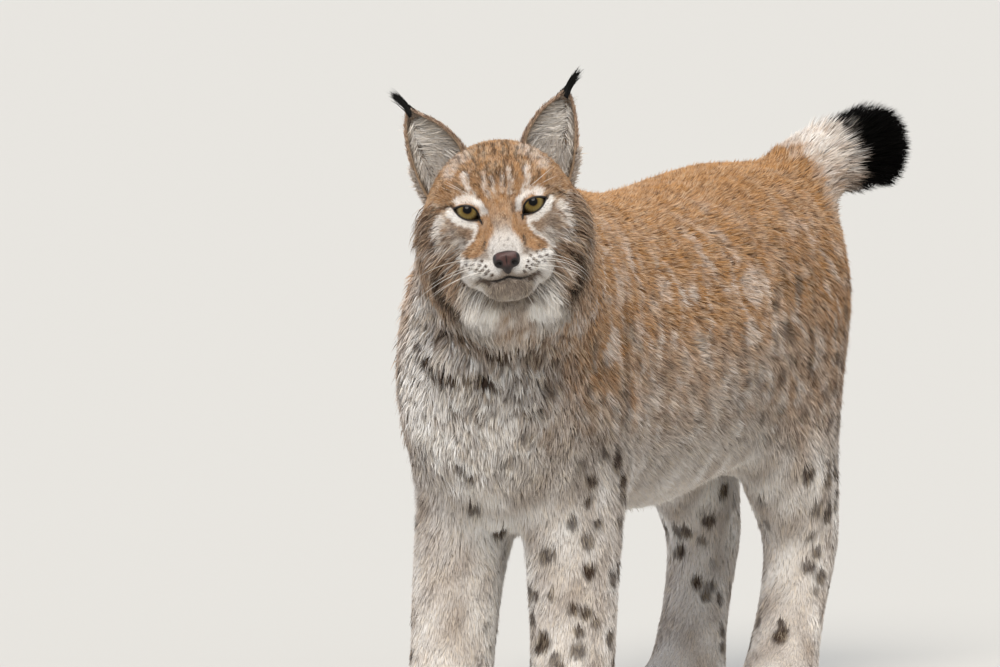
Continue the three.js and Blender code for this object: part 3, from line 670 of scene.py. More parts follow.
# %% [markdown]
# ## Setting the skin in
# The skin lies inside the solids by the height of the coat, so that coat and skin together have
# the animal's size. On the face, whose hair is only a few millimetres long, each point is set
# exactly on the field again, and the skin is opened behind the lids and creased along the mouth.
# %% Setting the skin in
CREASE_DEEP, GAP_DEEP = 2.6, 6.0
LOWEST_SKIN, LOWEST_HAIR = 1.0, 1.6  # over the floor
points = read(whole.vertices, "co") / MM
edges = read(whole.edges, "vertices", 2, np.int32)
normals = unit(ease(read(whole.vertices, "normal"), edges, 14))
coat = coat_at(points)
local = to_head(points)
aim = unit(local - HEAD_CENTRE)
at_face = sstep(-0.12, 0.30, -aim[:, 1]) * sstep(-100, -88, local[:, 2])
at_face *= sstep(150, 120, np.linalg.norm(local - HEAD_CENTRE, axis=1))
depth = ease((coat[:, 4:5] * 0.85), edges, 6)[:, 0]
set_in = points - normals * depth[:, None]
on_face = np.flatnonzero(at_face > 0)
reach = walk_out(head_form, HEAD_CENTRE, aim[on_face])
exact = HEAD_CENTRE + aim[on_face] * (reach - depth[on_face])[:, None]
x, z = exact[:, 0], exact[:, 2]
crease = np.exp(-(line_gap(np.abs(x), z, MOUTH) / 1.5) ** 2) * (exact[:, 1] < 16)
exact -= aim[on_face] * (CREASE_DEEP * crease)[:, None]
open_eye = eye_opening(x, z)
bulge = EYE_R ** 2 - (np.abs(x) - EYE[0]) ** 2 - (z - EYE[2]) ** 2
behind = EYE[1] - np.sqrt(np.maximum(bulge, 9)) + 4
opened = (open_eye > 0) & (exact[:, 1] < 30)
exact[:, 1] = np.where(opened, np.maximum(exact[:, 1], behind), exact[:, 1])
mix = at_face[on_face][:, None]
set_in[on_face] = set_in[on_face] * (1 - mix) + from_head(exact) * mix
hold = 1 - at_face
set_in = ease(set_in, edges, 4, hold)
set_in -= normals * (GAP_DEEP * toe_gaps(set_in))[:, None]
set_in[:, 2] = np.maximum(set_in[:, 2], LOWEST_SKIN)
whole.vertices.foreach_set("co", (set_in * MM).ravel())
whole.update()
print("skin set in by", round(depth.min(), 1), "to", round(depth.max(), 1), "mm")

# %% [markdown]
# ## Markings
# A lynx is grey-brown below, russet above, white round the eyes, mouth and throat, and spotted.
# A painted texture would need an unwrap and would stop at its seams. Here the markings are worked
# out by place, with one function for the skin and for the coat's roots, so that both always agree.
# It gives four masks: how warm the fur is, how white, how dark, and how black. Their edges are
# broken by ripples, soft random waves that any place can be put into.
# %% Ripples
def ripple(place, size, seed):
    """A soft random wave over space, about -1 to 1, whose swells are `size` millimetres wide."""
    source = np.random.default_rng(seed)
    total = np.zeros(len(place))
    for _ in range(7):
        wave = unit(source.normal(size=3)) * 2 * math.pi / (size * source.uniform(0.7, 1.6))
        total += np.sin(place @ wave + source.uniform(0, 6.28))
    return total / 3.2


def patches(place, size, seed):
    """A ripple bent by others, so that its swells make patches and not stripes."""
    bent_by = np.stack([ripple(place, 1.4 * size, seed + k) for k in (50, 60, 70)], axis=1)
    return ripple(place + bent_by * size * 0.5, size, seed)

trial = np.random.default_rng(0).uniform(0, 600, (2000, 3))
wave = ripple(trial, 40, 1)
print("a ripple runs from", wave.min().round(2), "to", wave.max().round(2))

# %% [markdown]
# ## Strokes and spots
# A cat's face is drawn with strokes: dark lines from the eyes' corners and over the crown, white
# ones round the eyes, beside the muzzle and down the ruff, and rows of dots that the whiskers grow
# from. Each is a line of points with a width and a strength, seen from the front. The same list
# serves both halves of the face, and ripples keep the halves from being equal.
# %% Strokes of the face
# A stroke: its width, its strength, then points x, z on the left half of the face.
DARK_STROKES = [
    (1.3, 0.9, (21, -10), (20.4, -14)),
    (1.3, 0.95, (46, 5.5), (52, 7.5), (60, 8), (67, 6)), (1.5, 0.75, (67, 6), (71, -2), (73, -10)),
    (2.4, 0.6, (73, -10), (76, -22), (75, -36)), (1.2, 0.5, (50, -17), (58, -21), (64, -28)),
    (1.1, 0.5, (46, -22), (54, -27), (60, -35)), (1.1, 0.45, (40, -26), (48, -34), (56, -44)),
    (6.0, 1.0, (70, -56), (71, -70), (66, -86), (57, -104)),
    (4.6, 0.9, (62, -92), (53, -107), (44, -117)),
    (1.4, 0.75, (7, 22), (8, 34), (9, 46)), (1.5, 0.8, (9, 52), (10, 64)),
    (1.2, 0.7, (3, 26), (4, 38)),
    (1.4, 0.75, (15, 28), (18, 40)), (1.5, 0.8, (20, 46), (24, 58)), (1.4, 0.7, (26, 30), (30, 42)),
    (1.5, 0.75, (33, 48), (38, 56)), (1.5, 0.8, (0, 34), (0, 44)), (1.5, 0.8, (1, 52), (0, 62)),
    (1.4, 0.7, (14, 52), (15, 66)), (1.3, 0.65, (28, 52), (30, 64)), (1.2, 0.5, (10, 10), (11, 18)),
    (1.4, 0.7, (38, 24), (44, 31)), (1.4, 0.6, (48, 22), (54, 28)), (1.2, 0.7, (34, 20), (37, 25)),
    (1.4, 0.95, (19.5, -32), (20.5, -36), (19, -40)), (1.6, 0.55, (0, -74.5), (11, -76)),
    (2.4, 0.85, (21, -73), (29, -69)), (4.5, 0.35, (0, -80), (14, -82)),
]
WHITE_STROKES = [
    (3.0, 1.0, (19.6, -16), (17, -9), (16.8, -2), (18.6, 4.5), (24, 9.5)),
    (3.4, 1.0, (24, -15.5), (30, -14), (38, -10.5), (45, -5), (50.5, 2)),
    (4.0, 0.8, (27, 12), (33, 14), (42, 12)), (3.2, 0.7, (25, 14), (30, 24), (31, 36)),
    (2.6, 0.5, (11, 14), (13, 26), (12, 36)), (2.2, 0.45, (4, 16), (5, 30)),
    (4.8, 0.75, (60, -4), (66, -14), (68, -26), (65, -37)), (6.0, 0.5, (44, -30), (50, -36)),
    (2.0, 0.85, (25, -17), (30, -27), (36, -33), (42, -39), (46, -44)),
    (8.0, 0.95, (12, -58), (24, -58), (32, -59)), (5.0, 0.9, (33, -53), (42, -48)),
    (5.0, 0.55, (29, -77), (27, -85), (25, -93)), (7.0, 0.6, (40, -68), (44, -82)),
    (8.0, 1.0, (34, -88), (44, -102), (48, -118)), (9.0, 1.0, (22, -102), (34, -112), (38, -124)),
    (6.0, 0.4, (28, 56), (38, 52), (47, 40)),
]
WHISKER_ROWS = [(-51.0, 24, 37, 3), (-56.5, 21, 39, 4), (-61.5, 19, 36, 4), (-66.0, 16, 28, 3)]
WHISKER_SPOTS = [
    (x0 + (x1 - x0) * i / (n - 1), z0 + 4.4 * i / (n - 1), 1.6)
    for z0, x0, x1, n in WHISKER_ROWS for i in range(n)
]


def stroke_mask(strokes, x, z):
    mask = np.zeros(len(x))
    for width, strength, *line in strokes:
        gap = line_gap(x, z, np.array(line, float))
        mask = np.maximum(mask, strength * sstep(width * 1.5, width * 0.55, gap))
    return mask

print("dark strokes:", len(DARK_STROKES), "white:", len(WHITE_STROKES), "dots:", len(WHISKER_SPOTS))

# %% [markdown]
# The body's spots are firm on the legs and faint on the flanks, and differ from animal to animal,
# so a seeded scatter sets them out. A cell noise would give dots at even distances, which no lynx
# has. Each spot is a ball stretched through the body's thin side, so it marks the surface wherever
# that lies.
# %% Spots of the body
CHEST_Y = -110
LEG_TOP = 345

# Thigh, flank, back and shoulder: count, x, then the limits of y, z, radius and strength.
SCATTERED = [
    (70, 112, (380, 640), (300, 500), (6, 9), (0.35, 0.75)),
    (80, 108, (20, 400), (250, 440), (5, 8), (0.2, 0.55)),
    (60, 100, (-20, 600), (440, 590), (5, 7), (0.12, 0.3)),
    (40, 98, (-60, 80), (290, 460), (5, 8), (0.3, 0.65)),
]
def scatter_spots():
    """Spots on the legs, the thighs and the lower flanks: place, radius, strength."""
    source = np.random.default_rng(5)
    spots = []
    for sx, x, y in ((1, 58, 9), (-1, -58, -41), (1, 66, 502), (-1, -66, 542)):
        for height in np.arange(60, LEG_TOP, 15.0):
            for angle in source.uniform(0, 2 * math.pi, 5):
                wide = 46 + 0.10 * max(height - 180, 0)
                spots.append([
                    x + wide * math.sin(angle), y + wide * math.cos(angle) + (30 if y > 400 else 8),
                    height + source.uniform(-6, 6),
                    source.uniform(5.5, 9.0), source.uniform(0.7, 1.0),
                ])
    for side in (1, -1):
        for count, x, *limits in SCATTERED:
            for _ in range(count):
                y, z, size, strength = (source.uniform(*limit) for limit in limits)
                spots.append([side * x, y, z, size, strength])
    for _ in range(110):
        spots.append([
            source.uniform(-90, 110), CHEST_Y, source.uniform(260, 480),
            source.uniform(3.5, 6.5), source.uniform(0.4, 0.85),
        ])
    return np.array(spots)


SPOTS = scatter_spots()


def spot_mask(q):
    """The strongest spot over each place. A spot is a rod across the body's thin direction."""
    order = np.argsort(q[:, 2])
    heights, mask = q[order, 2], np.zeros(len(q))
    for x, y, z, size, strength in SPOTS:
        first, last = np.searchsorted(heights, (z - 2 * size, z + 2 * size))
        near = order[first:last]
        gap = q[near] - (x, y, z)
        if y == CHEST_Y:
            gap *= (0.8, 0.3, 1.0)
        elif z < LEG_TOP and abs(x) < 110:
            gap *= (1.0, 0.8, 0.8)
        else:
            gap *= (0.28, 0.8, 0.8)
        far = np.linalg.norm(gap, axis=1) / size
        mask[near] = np.maximum(mask[near], strength * sstep(1.3, 0.65, far))
    return mask

print("spots:", len(SPOTS))

# %% [markdown]
# The body's colour follows its height: russet on the back, mottled with pale patches on the
# flanks, whitish on the legs and the chest. Behind the shoulder the fold of the coat is darkened in
# a line as painted shade, and the tail is cream above and black at its end.
# %% Marks of the body
def chest_marks(q, chest, warm, white, dark):
    """Adds the chest to the masks: pale below, paler to the right as painted light, with broken
    brown bars.
    """
    x, _, z = q.T
    bib, inner_bib = np.clip(chest * 1.6, 0, 1), np.clip(chest * 1.7 - 0.2, 0, 1)
    # painted light: the far, right side of the chest is paler, as if lit, with less warmth and
    # fainter blots
    lit_far_side, low = sstep(30, -60, x), sstep(470, 390, z)
    pale = bib * (0.24 + 0.62 * lit_far_side + 0.42 * low + 0.45 * patches(q, 18, 4))
    warm = np.maximum(warm, 0.4 * bib * (1 - low) * (1 - lit_far_side))
    blots = sstep(0.25, 0.7, patches(q, 9, 31)) * inner_bib * sstep(350, 390, z)
    bars = sstep(0.2, 0.75, np.sin(z / 6.5 + x / 26 + ripple(q, 45, 6) * 1.7))
    bars *= sstep(-0.3, 0.4, patches(q, 22, 16)) * inner_bib * sstep(370, 420, z)
    dark = np.maximum.reduce([dark, 0.55 * blots * (1 - 0.5 * lit_far_side), bars])
    return warm, np.maximum(white, pale), dark, bars


def flank_marks(q, soft):
    """How pale and how dark the mottling of the flank is."""
    z = q[:, 2]
    grained = q * [1, 0.5, 1]
    fine = 0.5 + 0.5 * sstep(-0.3, 0.6, patches(grained, 5, 14))
    pale = 0.6 * sstep(-0.4, 1.0, patches(q, 34, 19)) * fine
    pale *= sstep(230, 330, z) * sstep(600, 470, z + soft)
    frost = 0.16 * sstep(0.2, 0.9, ripple(grained, 5, 18)) * sstep(230, 330, z) * sstep(600, 540, z)
    grain = sstep(0.1, 0.9, patches(grained, 4.5, 13))
    grain *= 0.3 + 0.26 * sstep(-0.2, 0.8, patches(q, 30, 20))
    return np.maximum(pale, frost), grain


def tail_marks(q, warm, white, dark):
    """The tail: cream above, darkened below as painted shade, and black from two thirds on."""
    x, y, z = q.T
    along = y + 0.55 * (x - 20) + 0.25 * (z - 560)
    tail = sstep(600, 640, along + 8 * ripple(q, 18, 7)) * sstep(525, 560, z)
    black = sstep(674, 692, along + 6 * ripple(q, 14, 8)) * sstep(500, 540, z)
    top = sstep(575, 625, z + 6 * ripple(q, 16, 24))
    white = white * (1 - tail) + tail * (0.35 + 0.45 * top + 0.2 * ripple(q, 9, 25))
    # painted shade: the tail's underside is darkened
    dark = dark * (1 - tail) + 0.22 * tail * sstep(575, 550, z)
    return np.stack([warm * (1 - tail * 0.35), white, dark, black], axis=1)


def body_marks(place):
    """Masks of the body: warm, white, dark, black."""
    q = place - STANCE
    x, y, z = q.T
    soft = ripple(q, 120, 1) * 18 + ripple(q, 45, 2) * 10
    chest = np.exp(-(((x - 20) / 95) ** 2 + ((y + 150) / 75) ** 2 + ((z - 400) / 150) ** 2))
    leg = sstep(380, 260, z)
    thigh = sstep(395, 440, y) * sstep(240, 340, z + soft)
    back = sstep(280, 480, z + soft) * (1 - 0.85 * np.clip(chest * 1.5, 0, 1))
    warm = np.maximum.reduce([back, 0.2 * leg, 0.6 * thigh])
    inner_leg = sstep(40, 14, np.abs(x)) * leg
    white = 0.74 * leg * (0.8 + 0.3 * ripple(q, 40, 3)) + 0.3 * inner_leg
    warm, white, on_chest, bars = chest_marks(q, chest, warm, white, np.zeros(len(q)))
    belly = 0.25 * sstep(470, 340, z + soft) * (0.5 + 0.7 * ripple(q, 26, 5))
    pale, grain = flank_marks(q, soft)
    white = np.maximum.reduce([white, belly, 0.5 * sstep(60, 30, z), pale])
    hip = 0.1 * sstep(400, 470, y) * sstep(610, 560, y) * sstep(560, 500, z)
    side = np.abs(x) > 55
    # painted shade: a dark line down the fold behind the shoulder, which also dims the white there
    crease = np.exp(-((y - 36 - 0.05 * (z - 400)) / 9) ** 2) * side
    crease *= sstep(510, 450, z) * sstep(330, 365, z) * (0.75 + 0.25 * patches(q, 9, 33))
    # painted shade: toe_gaps darkens the fur in the gaps between the toes
    dark = np.maximum.reduce([
        spot_mask(q), (grain + hip) * sstep(230, 330, z), 0.75 * crease, 0.5 * toe_gaps(place),
        on_chest,
    ])
    white *= (1 - 0.8 * crease) * (1 - 0.8 * bars)
    behind = 0.9 * np.exp(-((y - 60) / 24) ** 2) * sstep(330, 380, z) * side
    warm = np.maximum(warm, behind) * (0.9 + 0.1 * ripple(q, 24, 23))
    return tail_marks(q, warm, white, dark)

# %% [markdown]
# On the head the strokes are joined by flecks on the crown, ticks on the cheeks, a pale bridge of
# the nose with a russet band on each side, and black where the skin of lips and lids is bare.
# %% Marks of the head
SNOUT_BAND = np.array([(18, -12), (17, -24), (24, -34), (34, -41)], float)
def head_darks(h, white, outer):
    """Dark marks of the head: strokes, dots, flecks on the crown, lines and ticks on the cheeks."""
    hx, hz = np.abs(h[:, 0]), h[:, 2]
    fx, fz = hx + ripple(h, 9, 9), hz + ripple(h, 9, 10)
    dark = stroke_mask(DARK_STROKES, fx, fz)
    for sx, sz, r in WHISKER_SPOTS:
        dark = np.maximum(dark, sstep(r * 1.4, r * 0.7, np.hypot(hx - sx, hz - sz)))
    flecks = sstep(0.3, 0.8, ripple(h, 6, 12)) * 0.8 * sstep(14, 44, hz)
    temple = 0.42 * outer * sstep(0.1, 0.8, patches(h * [0.6, 0.6, 1.3], 9, 29))
    lines = sstep(0.2, 0.8, ripple(h * [0.5, 0.5, 1.5], 8, 15)) * 0.5
    lines *= sstep(24, 34, hx) * sstep(-12, -22, hz) * sstep(-62, -48, hz)
    ticks = 0.45 * sstep(0.2, 0.9, ripple(h * [1, 1, 0.55], 3.8, 17)) * (1 - white)
    dusk = 0.06 * sstep(38, 56, hx) * sstep(0, -20, hz)
    return np.maximum.reduce([dark, flecks, temple, lines, ticks * sstep(-66, -56, hz), dusk])


def head_marks(h):
    """Masks of the head, at places in its own frame."""
    hx, hy, hz = np.abs(h[:, 0]), h[:, 1], h[:, 2]
    fx, fz = hx + ripple(h, 9, 9), hz + ripple(h, 9, 10)
    front, outer = sstep(90, 55, hy), sstep(42, 56, hx) * sstep(24, 4, hz)
    white = stroke_mask(WHITE_STROKES, fx, fz)
    white *= 1 - 0.7 * sstep(0.0, 0.7, ripple(h * [1, 1, 0.6], 5, 20)) * sstep(10, 18, hz)
    white *= 1 - 0.5 * sstep(0.2, 0.9, ripple(h, 6, 26)) * sstep(-24, -30, hz) * sstep(40, 48, hx)
    dark = head_darks(h, white, outer) * front
    temple = 0.42 * outer * sstep(0.1, 0.9, patches(h * [0.6, 0.6, 1.3], 11, 30))
    throat = sstep(-84, -104, hz) * sstep(70, 40, hx)
    throat *= 0.3 + 0.25 * ripple(h * [1, 1, 0.3], 9, 27)
    wide = 8 + 8 * sstep(-18, -36, hz)
    bridge = sstep(wide + 3, wide - 3, hx) * sstep(-13, -36, hz) * sstep(-56, -47, hz)
    white = np.maximum.reduce([white * front, temple * front, throat, 0.72 * bridge])
    crown = sstep(-40, 12, hz + 6 * ripple(h, 25, 11)) * (0.74 + 0.12 * ripple(h, 10, 28))
    crown *= 1 - 0.6 * sstep(34, 56, hx) * sstep(14, -14, hz)
    side_gap = line_gap(hx, hz, SNOUT_BAND)
    snout = 0.8 * sstep(11, 6, side_gap) * sstep(-50, -44, hz)
    cheek = 0.42 * sstep(44, 60, hx) * sstep(16, -6, hz) * sstep(-112, -92, hz)
    under_chin = 0.4 * sstep(-92, -108, hz) * sstep(30, 12, hx)
    warm = np.maximum.reduce([crown, snout, cheek, under_chin])
    white *= 1 - 0.9 * sstep(8, 5, side_gap) * sstep(wide - 1, wide + 2, hx)
    lips = sstep(1.5, 0.5, line_gap(hx, hz, MOUTH)) * sstep(26, 12, hx) * (hy < 14)
    rim = sstep(-1.9, -0.6, eye_opening(h[:, 0], hz)) * (hy < 26)
    return np.stack([warm, white, dark, np.maximum(lips, rim) * front], axis=1)

# %% [markdown]
# Head and body meet behind the ruff, where one set of masks fades into the other. The masks are
# then written on the points of a mesh, for its material to read.
# %% Marks on the points
def markings(place):
    """Masks at places in millimetres: warm, white, dark, black."""
    masks = body_marks(place)
    h = to_head(place)
    near = np.linalg.norm((h - [0, 36, -24]) / [104, 104, 118], axis=1) < 1.06
    on_head = sstep(-146, -124, h[near, 2]) * sstep(150, 110, h[near, 1])
    masks[near] += (head_marks(h[near]) - masks[near]) * on_head[:, None]
    return np.clip(masks, 0, 1)


def with_marks(obj, marks, strand=None):
    """Writes the masks, and for tufts the place along each strand and its chance, on the points."""
    for name, values in (("marks", marks[:, :3]), ("black", marks[:, 3])):
        kind, slot = ("FLOAT_VECTOR", "vector") if values.ndim > 1 else ("FLOAT", "value")
        layer = obj.data.attributes.new(name, kind, "POINT")
        layer.data.foreach_set(slot, values.astype(np.float32).ravel())
    if strand is not None:
        layer = obj.data.attributes.new("strand", "FLOAT_VECTOR", "POINT")
        layer.data.foreach_set("vector", strand.astype(np.float32).ravel())


skin_marks = markings(set_in)
with_marks(skin, skin_marks)
print("mean masks of the skin:", np.round(skin_marks.mean(axis=0), 2).tolist())

# %% [markdown]
# ## Finishes
# Fur is painted in two steps that several finishes share, so each is a node group with named
# sockets, built once. A group gives out only a colour here; the shader stays in each material. Two
# more helpers mix colours and stretch a number from one range to another.
# %% Helpers for node groups
def group(name, inputs, outputs):
    tree = bpy.data.node_groups.new(name, "ShaderNodeTree")
    for label, kind, value in inputs:
        tree.interface.new_socket(label, in_out="INPUT", socket_type=kind).default_value = value
    for label, kind in outputs:
        tree.interface.new_socket(label, in_out="OUTPUT", socket_type=kind)
    return tree, tree.nodes.new("NodeGroupInput"), tree.nodes.new("NodeGroupOutput")


def mixed(tree, share, a, b, mode="MIX"):
    made = add_node(tree, "ShaderNodeMix", data_type="RGBA", blend_type=mode)
    for value, socket in ((share, made.inputs[0]), (a, made.inputs[6]), (b, made.inputs[7])):
        if isinstance(value, (int, float, tuple)):
            socket.default_value = value
        else:
            tree.links.new(value, socket)
    return made.outputs[2]


def mapped(tree, value, *limits):
    made = add_node(tree, "ShaderNodeMapRange")
    tree.links.new(value, made.inputs[0])
    for socket, limit in zip(list(made.inputs)[1:5], limits):
        socket.default_value = limit
    return made.outputs[0]


COLOUR, VALUE, VECTOR = "NodeSocketColor", "NodeSocketFloat", "NodeSocketVector"
print("sockets of three kinds:", COLOUR, VALUE, VECTOR)

# %% [markdown]
# The first group mixes the fur's five colours by the masks, each over the one before: warm over
# grey, then white, dark and black.
# %% Group of the marked fur
marked_fur, into, out = group("marked_fur", [
    ("Masks", VECTOR, (0, 0, 0)), ("Black", VALUE, 0.0),
    ("Grey Fur", COLOUR, rgb("a3968a")), ("Warm Fur", COLOUR, rgb("b88650")),
    ("White Fur", COLOUR, rgb("fbf8f4")), ("Dark Fur", COLOUR, rgb("3a2617")),
    ("Black Fur", COLOUR, rgb("090706")),
], [("Colour", COLOUR)])
parts = marked_fur.nodes.new("ShaderNodeSeparateXYZ")
marked_fur.links.new(into.outputs["Masks"], parts.inputs[0])
tone = mixed(marked_fur, parts.outputs[0], into.outputs["Grey Fur"], into.outputs["Warm Fur"])
tone = mixed(marked_fur, parts.outputs[1], tone, into.outputs["White Fur"])
tone = mixed(marked_fur, parts.outputs[2], tone, into.outputs["Dark Fur"])
tone = mixed(marked_fur, into.outputs["Black"], tone, into.outputs["Black Fur"])
marked_fur.links.new(tone, out.inputs["Colour"])

print("colours of fur:", [item.name for item in marked_fur.interface.items_tree][2:7])

# %% [markdown]
# The second group shades a strand. Painted shade darkens each strand towards its root, where the
# tufts lie over one another, so it is brighter towards its tip; and no two locks have the same
# tone, so each tuft carries its own chance from 0 to 1: the lowest third is darker, the highest
# third paler.
# %% Group of the strand's tone
strand_tone, into, out = group("strand_tone", [
    ("Colour", COLOUR, (1, 1, 1, 1)), ("Strand", VECTOR, (0.5, 0.5, 0)), ("Black", VALUE, 0.0),
    ("Root Shade", COLOUR, rgb("a39587")), ("Dark Hair", COLOUR, rgb("735d4b")),
    ("Pale Hair", COLOUR, rgb("efdcbf")), ("Black Fur", COLOUR, rgb("070605")),
], [("Colour", COLOUR)])
parts = strand_tone.nodes.new("ShaderNodeSeparateXYZ")
strand_tone.links.new(into.outputs["Strand"], parts.inputs[0])
chance, along = parts.outputs[0], parts.outputs[1]
# painted shade: each strand's colour is multiplied by Root Shade towards its root
shaded_at_root = mixed(strand_tone, 1.0, into.outputs["Colour"], into.outputs["Root Shade"], "MULTIPLY")
at_root = mapped(strand_tone, along, 0.0, 0.55, 0.85, 0.0)
tone = mixed(strand_tone, at_root, into.outputs["Colour"], shaded_at_root)
darker = mixed(strand_tone, 1.0, tone, into.outputs["Dark Hair"], "MULTIPLY")
lowest = mapped(strand_tone, chance, 0.30, 0.02, 0.0, 0.8)
tone = mixed(strand_tone, lowest, tone, darker)
highest = mapped(strand_tone, chance, 0.6, 1.0, 0.0, 0.32)
tone = mixed(strand_tone, highest, tone, into.outputs["Pale Hair"])
tone = mixed(strand_tone, into.outputs["Black"], tone, into.outputs["Black Fur"])
strand_tone.links.new(tone, out.inputs["Colour"])
print("nodes of the strand's tone:", len(strand_tone.nodes))

# %% [markdown]
# The coat, the brush and the underfur on the skin share the groups. The skin shows only between
# tufts, so it gets a fine nap as bump and a little shade in place of strands. The brush is matt,
# because black hair with any gloss looks grey.
# %% Finishes of the fur


def placed(tree, shared):
    return add_node(tree, "ShaderNodeGroup", node_tree=shared)


def attribute(tree, name):
    return add_node(tree, "ShaderNodeAttribute", attribute_name=name)


def fur_finish(name, tufts=True, gloss=0.18, sheen=0.04):
    made, tree, shader = material(
        name, Roughness=0.62, Specular_IOR_Level=gloss, Sheen_Weight=sheen)
    fur = placed(tree, marked_fur)
    tree.links.new(attribute(tree, "marks").outputs["Vector"], fur.inputs["Masks"])
    tree.links.new(attribute(tree, "black").outputs["Fac"], fur.inputs["Black"])
    result = fur.outputs["Colour"]
    if tufts:
        strand = placed(tree, strand_tone)
        tree.links.new(result, strand.inputs["Colour"])
        tree.links.new(attribute(tree, "strand").outputs["Vector"], strand.inputs["Strand"])
        tree.links.new(attribute(tree, "black").outputs["Fac"], strand.inputs["Black"])
        result = strand.outputs["Colour"]
    else:
        place = add_node(tree, "ShaderNodeTexCoord")
        nap = add_node(tree, "ShaderNodeTexNoise")
        nap.inputs["Scale"].default_value = 900
        tree.links.new(place.outputs["Object"], nap.inputs["Vector"])
        press = add_node(tree, "ShaderNodeBump")
        press.inputs["Strength"].default_value = 0.5
        press.inputs["Distance"].default_value = 0.0008
        tree.links.new(nap.outputs["Fac"], press.inputs["Height"])
        tree.links.new(press.outputs["Normal"], shader.inputs["Normal"])
        shade = mapped(tree, nap.outputs["Fac"], 0.35, 0.65, 0.1, 0.45)
        result = mixed(tree, shade, result, rgb("5d4a3c"))
    tree.links.new(result, shader.inputs["Base Color"])
    return made


coat_finish = fur_finish("coat")
brush_finish = fur_finish("brush_coat", gloss=0.04, sheen=0.0)
underfur = fur_finish("underfur", tufts=False)
skin.data.materials.append(underfur)
skin.data.polygons.foreach_set("use_smooth", np.ones(len(skin.data.polygons), bool))
FLESH_NODES = FLESH + ["head", "tail_brush"]
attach(skin, "root")
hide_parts(*FLESH_NODES)
print("finishes:", [m.name for m in bpy.data.materials])

# %% [markdown]
# ## The coat
# Fur could be grown as hair curves, but only mesh can be kept and handed on. So a tuft is a flat
# blade, two points wide at its stations and ending in one at its tip: a triangle where the fur is
# short, three triangles with a bend where it is long. Hundreds of thousands of them are written
# straight into one mesh, since adding them one by one would take minutes. Each has its own small
# patch in the unwrap, at the place of its root.
# %% Blades
HALF_PATCH = 0.0015

def build_blades(name, paths, side, widths, marks, chance, uv, finish):
    """Blades along paths (tufts x stations x 3, millimetres); the last station is the tip."""
    count, stations = paths.shape[:2]
    per = 2 * stations - 1
    half = side[:, None, :] * widths[:, :-1, None] / 2
    place = np.empty((count, per, 3))
    place[:, 0:per - 1:2] = paths[:, :-1] - half
    place[:, 1:per - 1:2] = paths[:, :-1] + half
    place[:, -1] = paths[:, -1]
    corners = []
    for k in range(stations - 2):
        corners += [2 * k, 2 * k + 1, 2 * k + 3, 2 * k + 2]
    corners += [per - 3, per - 2, per - 1]
    sizes = [4] * (stations - 2) + [3]
    starts = np.concatenate([[0], np.cumsum(sizes)[:-1]])
    first = np.arange(count)[:, None]
    mesh = bpy.data.meshes.new(name)
    mesh.vertices.add(count * per)
    mesh.vertices.foreach_set("co", (place * MM).ravel())
    mesh.loops.add(count * len(corners))
    order = first * per + np.array(corners)
    mesh.loops.foreach_set("vertex_index", order.astype(np.int32).ravel())
    mesh.polygons.add(count * len(sizes))
    loop_starts = first * len(corners) + starts
    mesh.polygons.foreach_set("loop_start", loop_starts.astype(np.int32).ravel())
    mesh.polygons.foreach_set("use_smooth", np.ones(count * len(sizes), bool))
    mesh.update(calc_edges=True)
    along = np.repeat(np.linspace(0, 1, stations), 2)[:per]
    patch = np.stack([np.tile([-1.0, 1.0], stations)[:per] * (1 - along), along * 2 - 1], axis=1)
    patch *= HALF_PATCH
    coords = (uv[:, None] + patch[None])[:, corners].reshape(-1, 2)
    layer = mesh.uv_layers.new(name="OFBake")
    layer.data.foreach_set("uv", np.clip(coords, 0, 1).astype(np.float32).ravel())
    made = bpy.data.objects.new(name, mesh)
    scene.collection.objects.link(made)
    strand = np.zeros((count, per, 3))
    strand[:, :, 0] = chance[:, None]
    strand[:, :, 1] = along
    with_marks(made, np.repeat(marks, per, axis=0), strand.reshape(-1, 3))
    mesh.materials.append(finish)
    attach(made, "root")
    print(f"{name}: {count} tufts, {count * (2 * stations - 3)} triangles")
    return made

print("a patch of the unwrap is", 2 * HALF_PATCH, "across")

# %% [markdown]
# The coat is kept in pieces by area, because one mesh of it all would be too heavy. Each area is
# unwrapped by its own shape: the trunk and legs as tubes, the head as a globe.
# %% Areas of the coat
def area_of(place):
    """Which piece of the coat a root belongs to."""
    x, y, z = (place - STANCE).T
    h = to_head(place)
    area = np.where(x > 0, "trunk_left", "trunk_right").astype("<U14")
    area[y < -50] = "neck"
    area[(z < 300) & (y < 200)] = "forelegs"
    area[(z < 340) & (y > 400)] = "hindlegs"
    area[(y + 0.55 * (x - 20) + 0.25 * (z - 560) > 606) & (z > 495)] = "tail"
    area[np.linalg.norm((h - [0, 40, -20]) / [96, 104, 100], axis=1) < 1] = "head"
    return area


def unwrap(area, place):
    """A place on the coat as two numbers from 0 to 1: round the form, and along it."""
    q = place - STANCE
    if area in ("head", "ruff"):
        h = unit(to_head(place) - HEAD_CENTRE)
        round_head = np.arctan2(h[:, 0], -h[:, 1]) / 6.3 + 0.5
        return np.stack([round_head, np.arccos(np.clip(h[:, 2], -1, 1)) / 3.2], axis=1)
    if "legs" in area:
        near = np.where(q[:, 0] > 0, 0.25, 0.75)
        middle_y = 10 if area == "forelegs" else 530
        turned = np.arctan2(np.abs(q[:, 0]) - 60, q[:, 1] - middle_y) / 13
        return np.stack([near + turned, q[:, 2] / 350], axis=1)
    if area == "tail":
        middle, _, side, over = tail_frame(np.linspace(0, 1, 40))
        gap = np.linalg.norm(place[:, None] - middle[None], axis=2)
        near = gap.argmin(axis=1)
        off = place - middle[near]
        turned = np.arctan2((off * over[near]).sum(axis=1), (off * side[near]).sum(axis=1))
        return np.stack([turned / 6.3 + 0.5, near / 40], axis=1)
    turned = np.arctan2(q[:, 0], q[:, 2] - 430) / 6.3 + 0.5
    return np.stack([turned, (q[:, 1] + 260) / 960], axis=1)

print("areas on the skin:", sorted(set(area_of(set_in).tolist())))

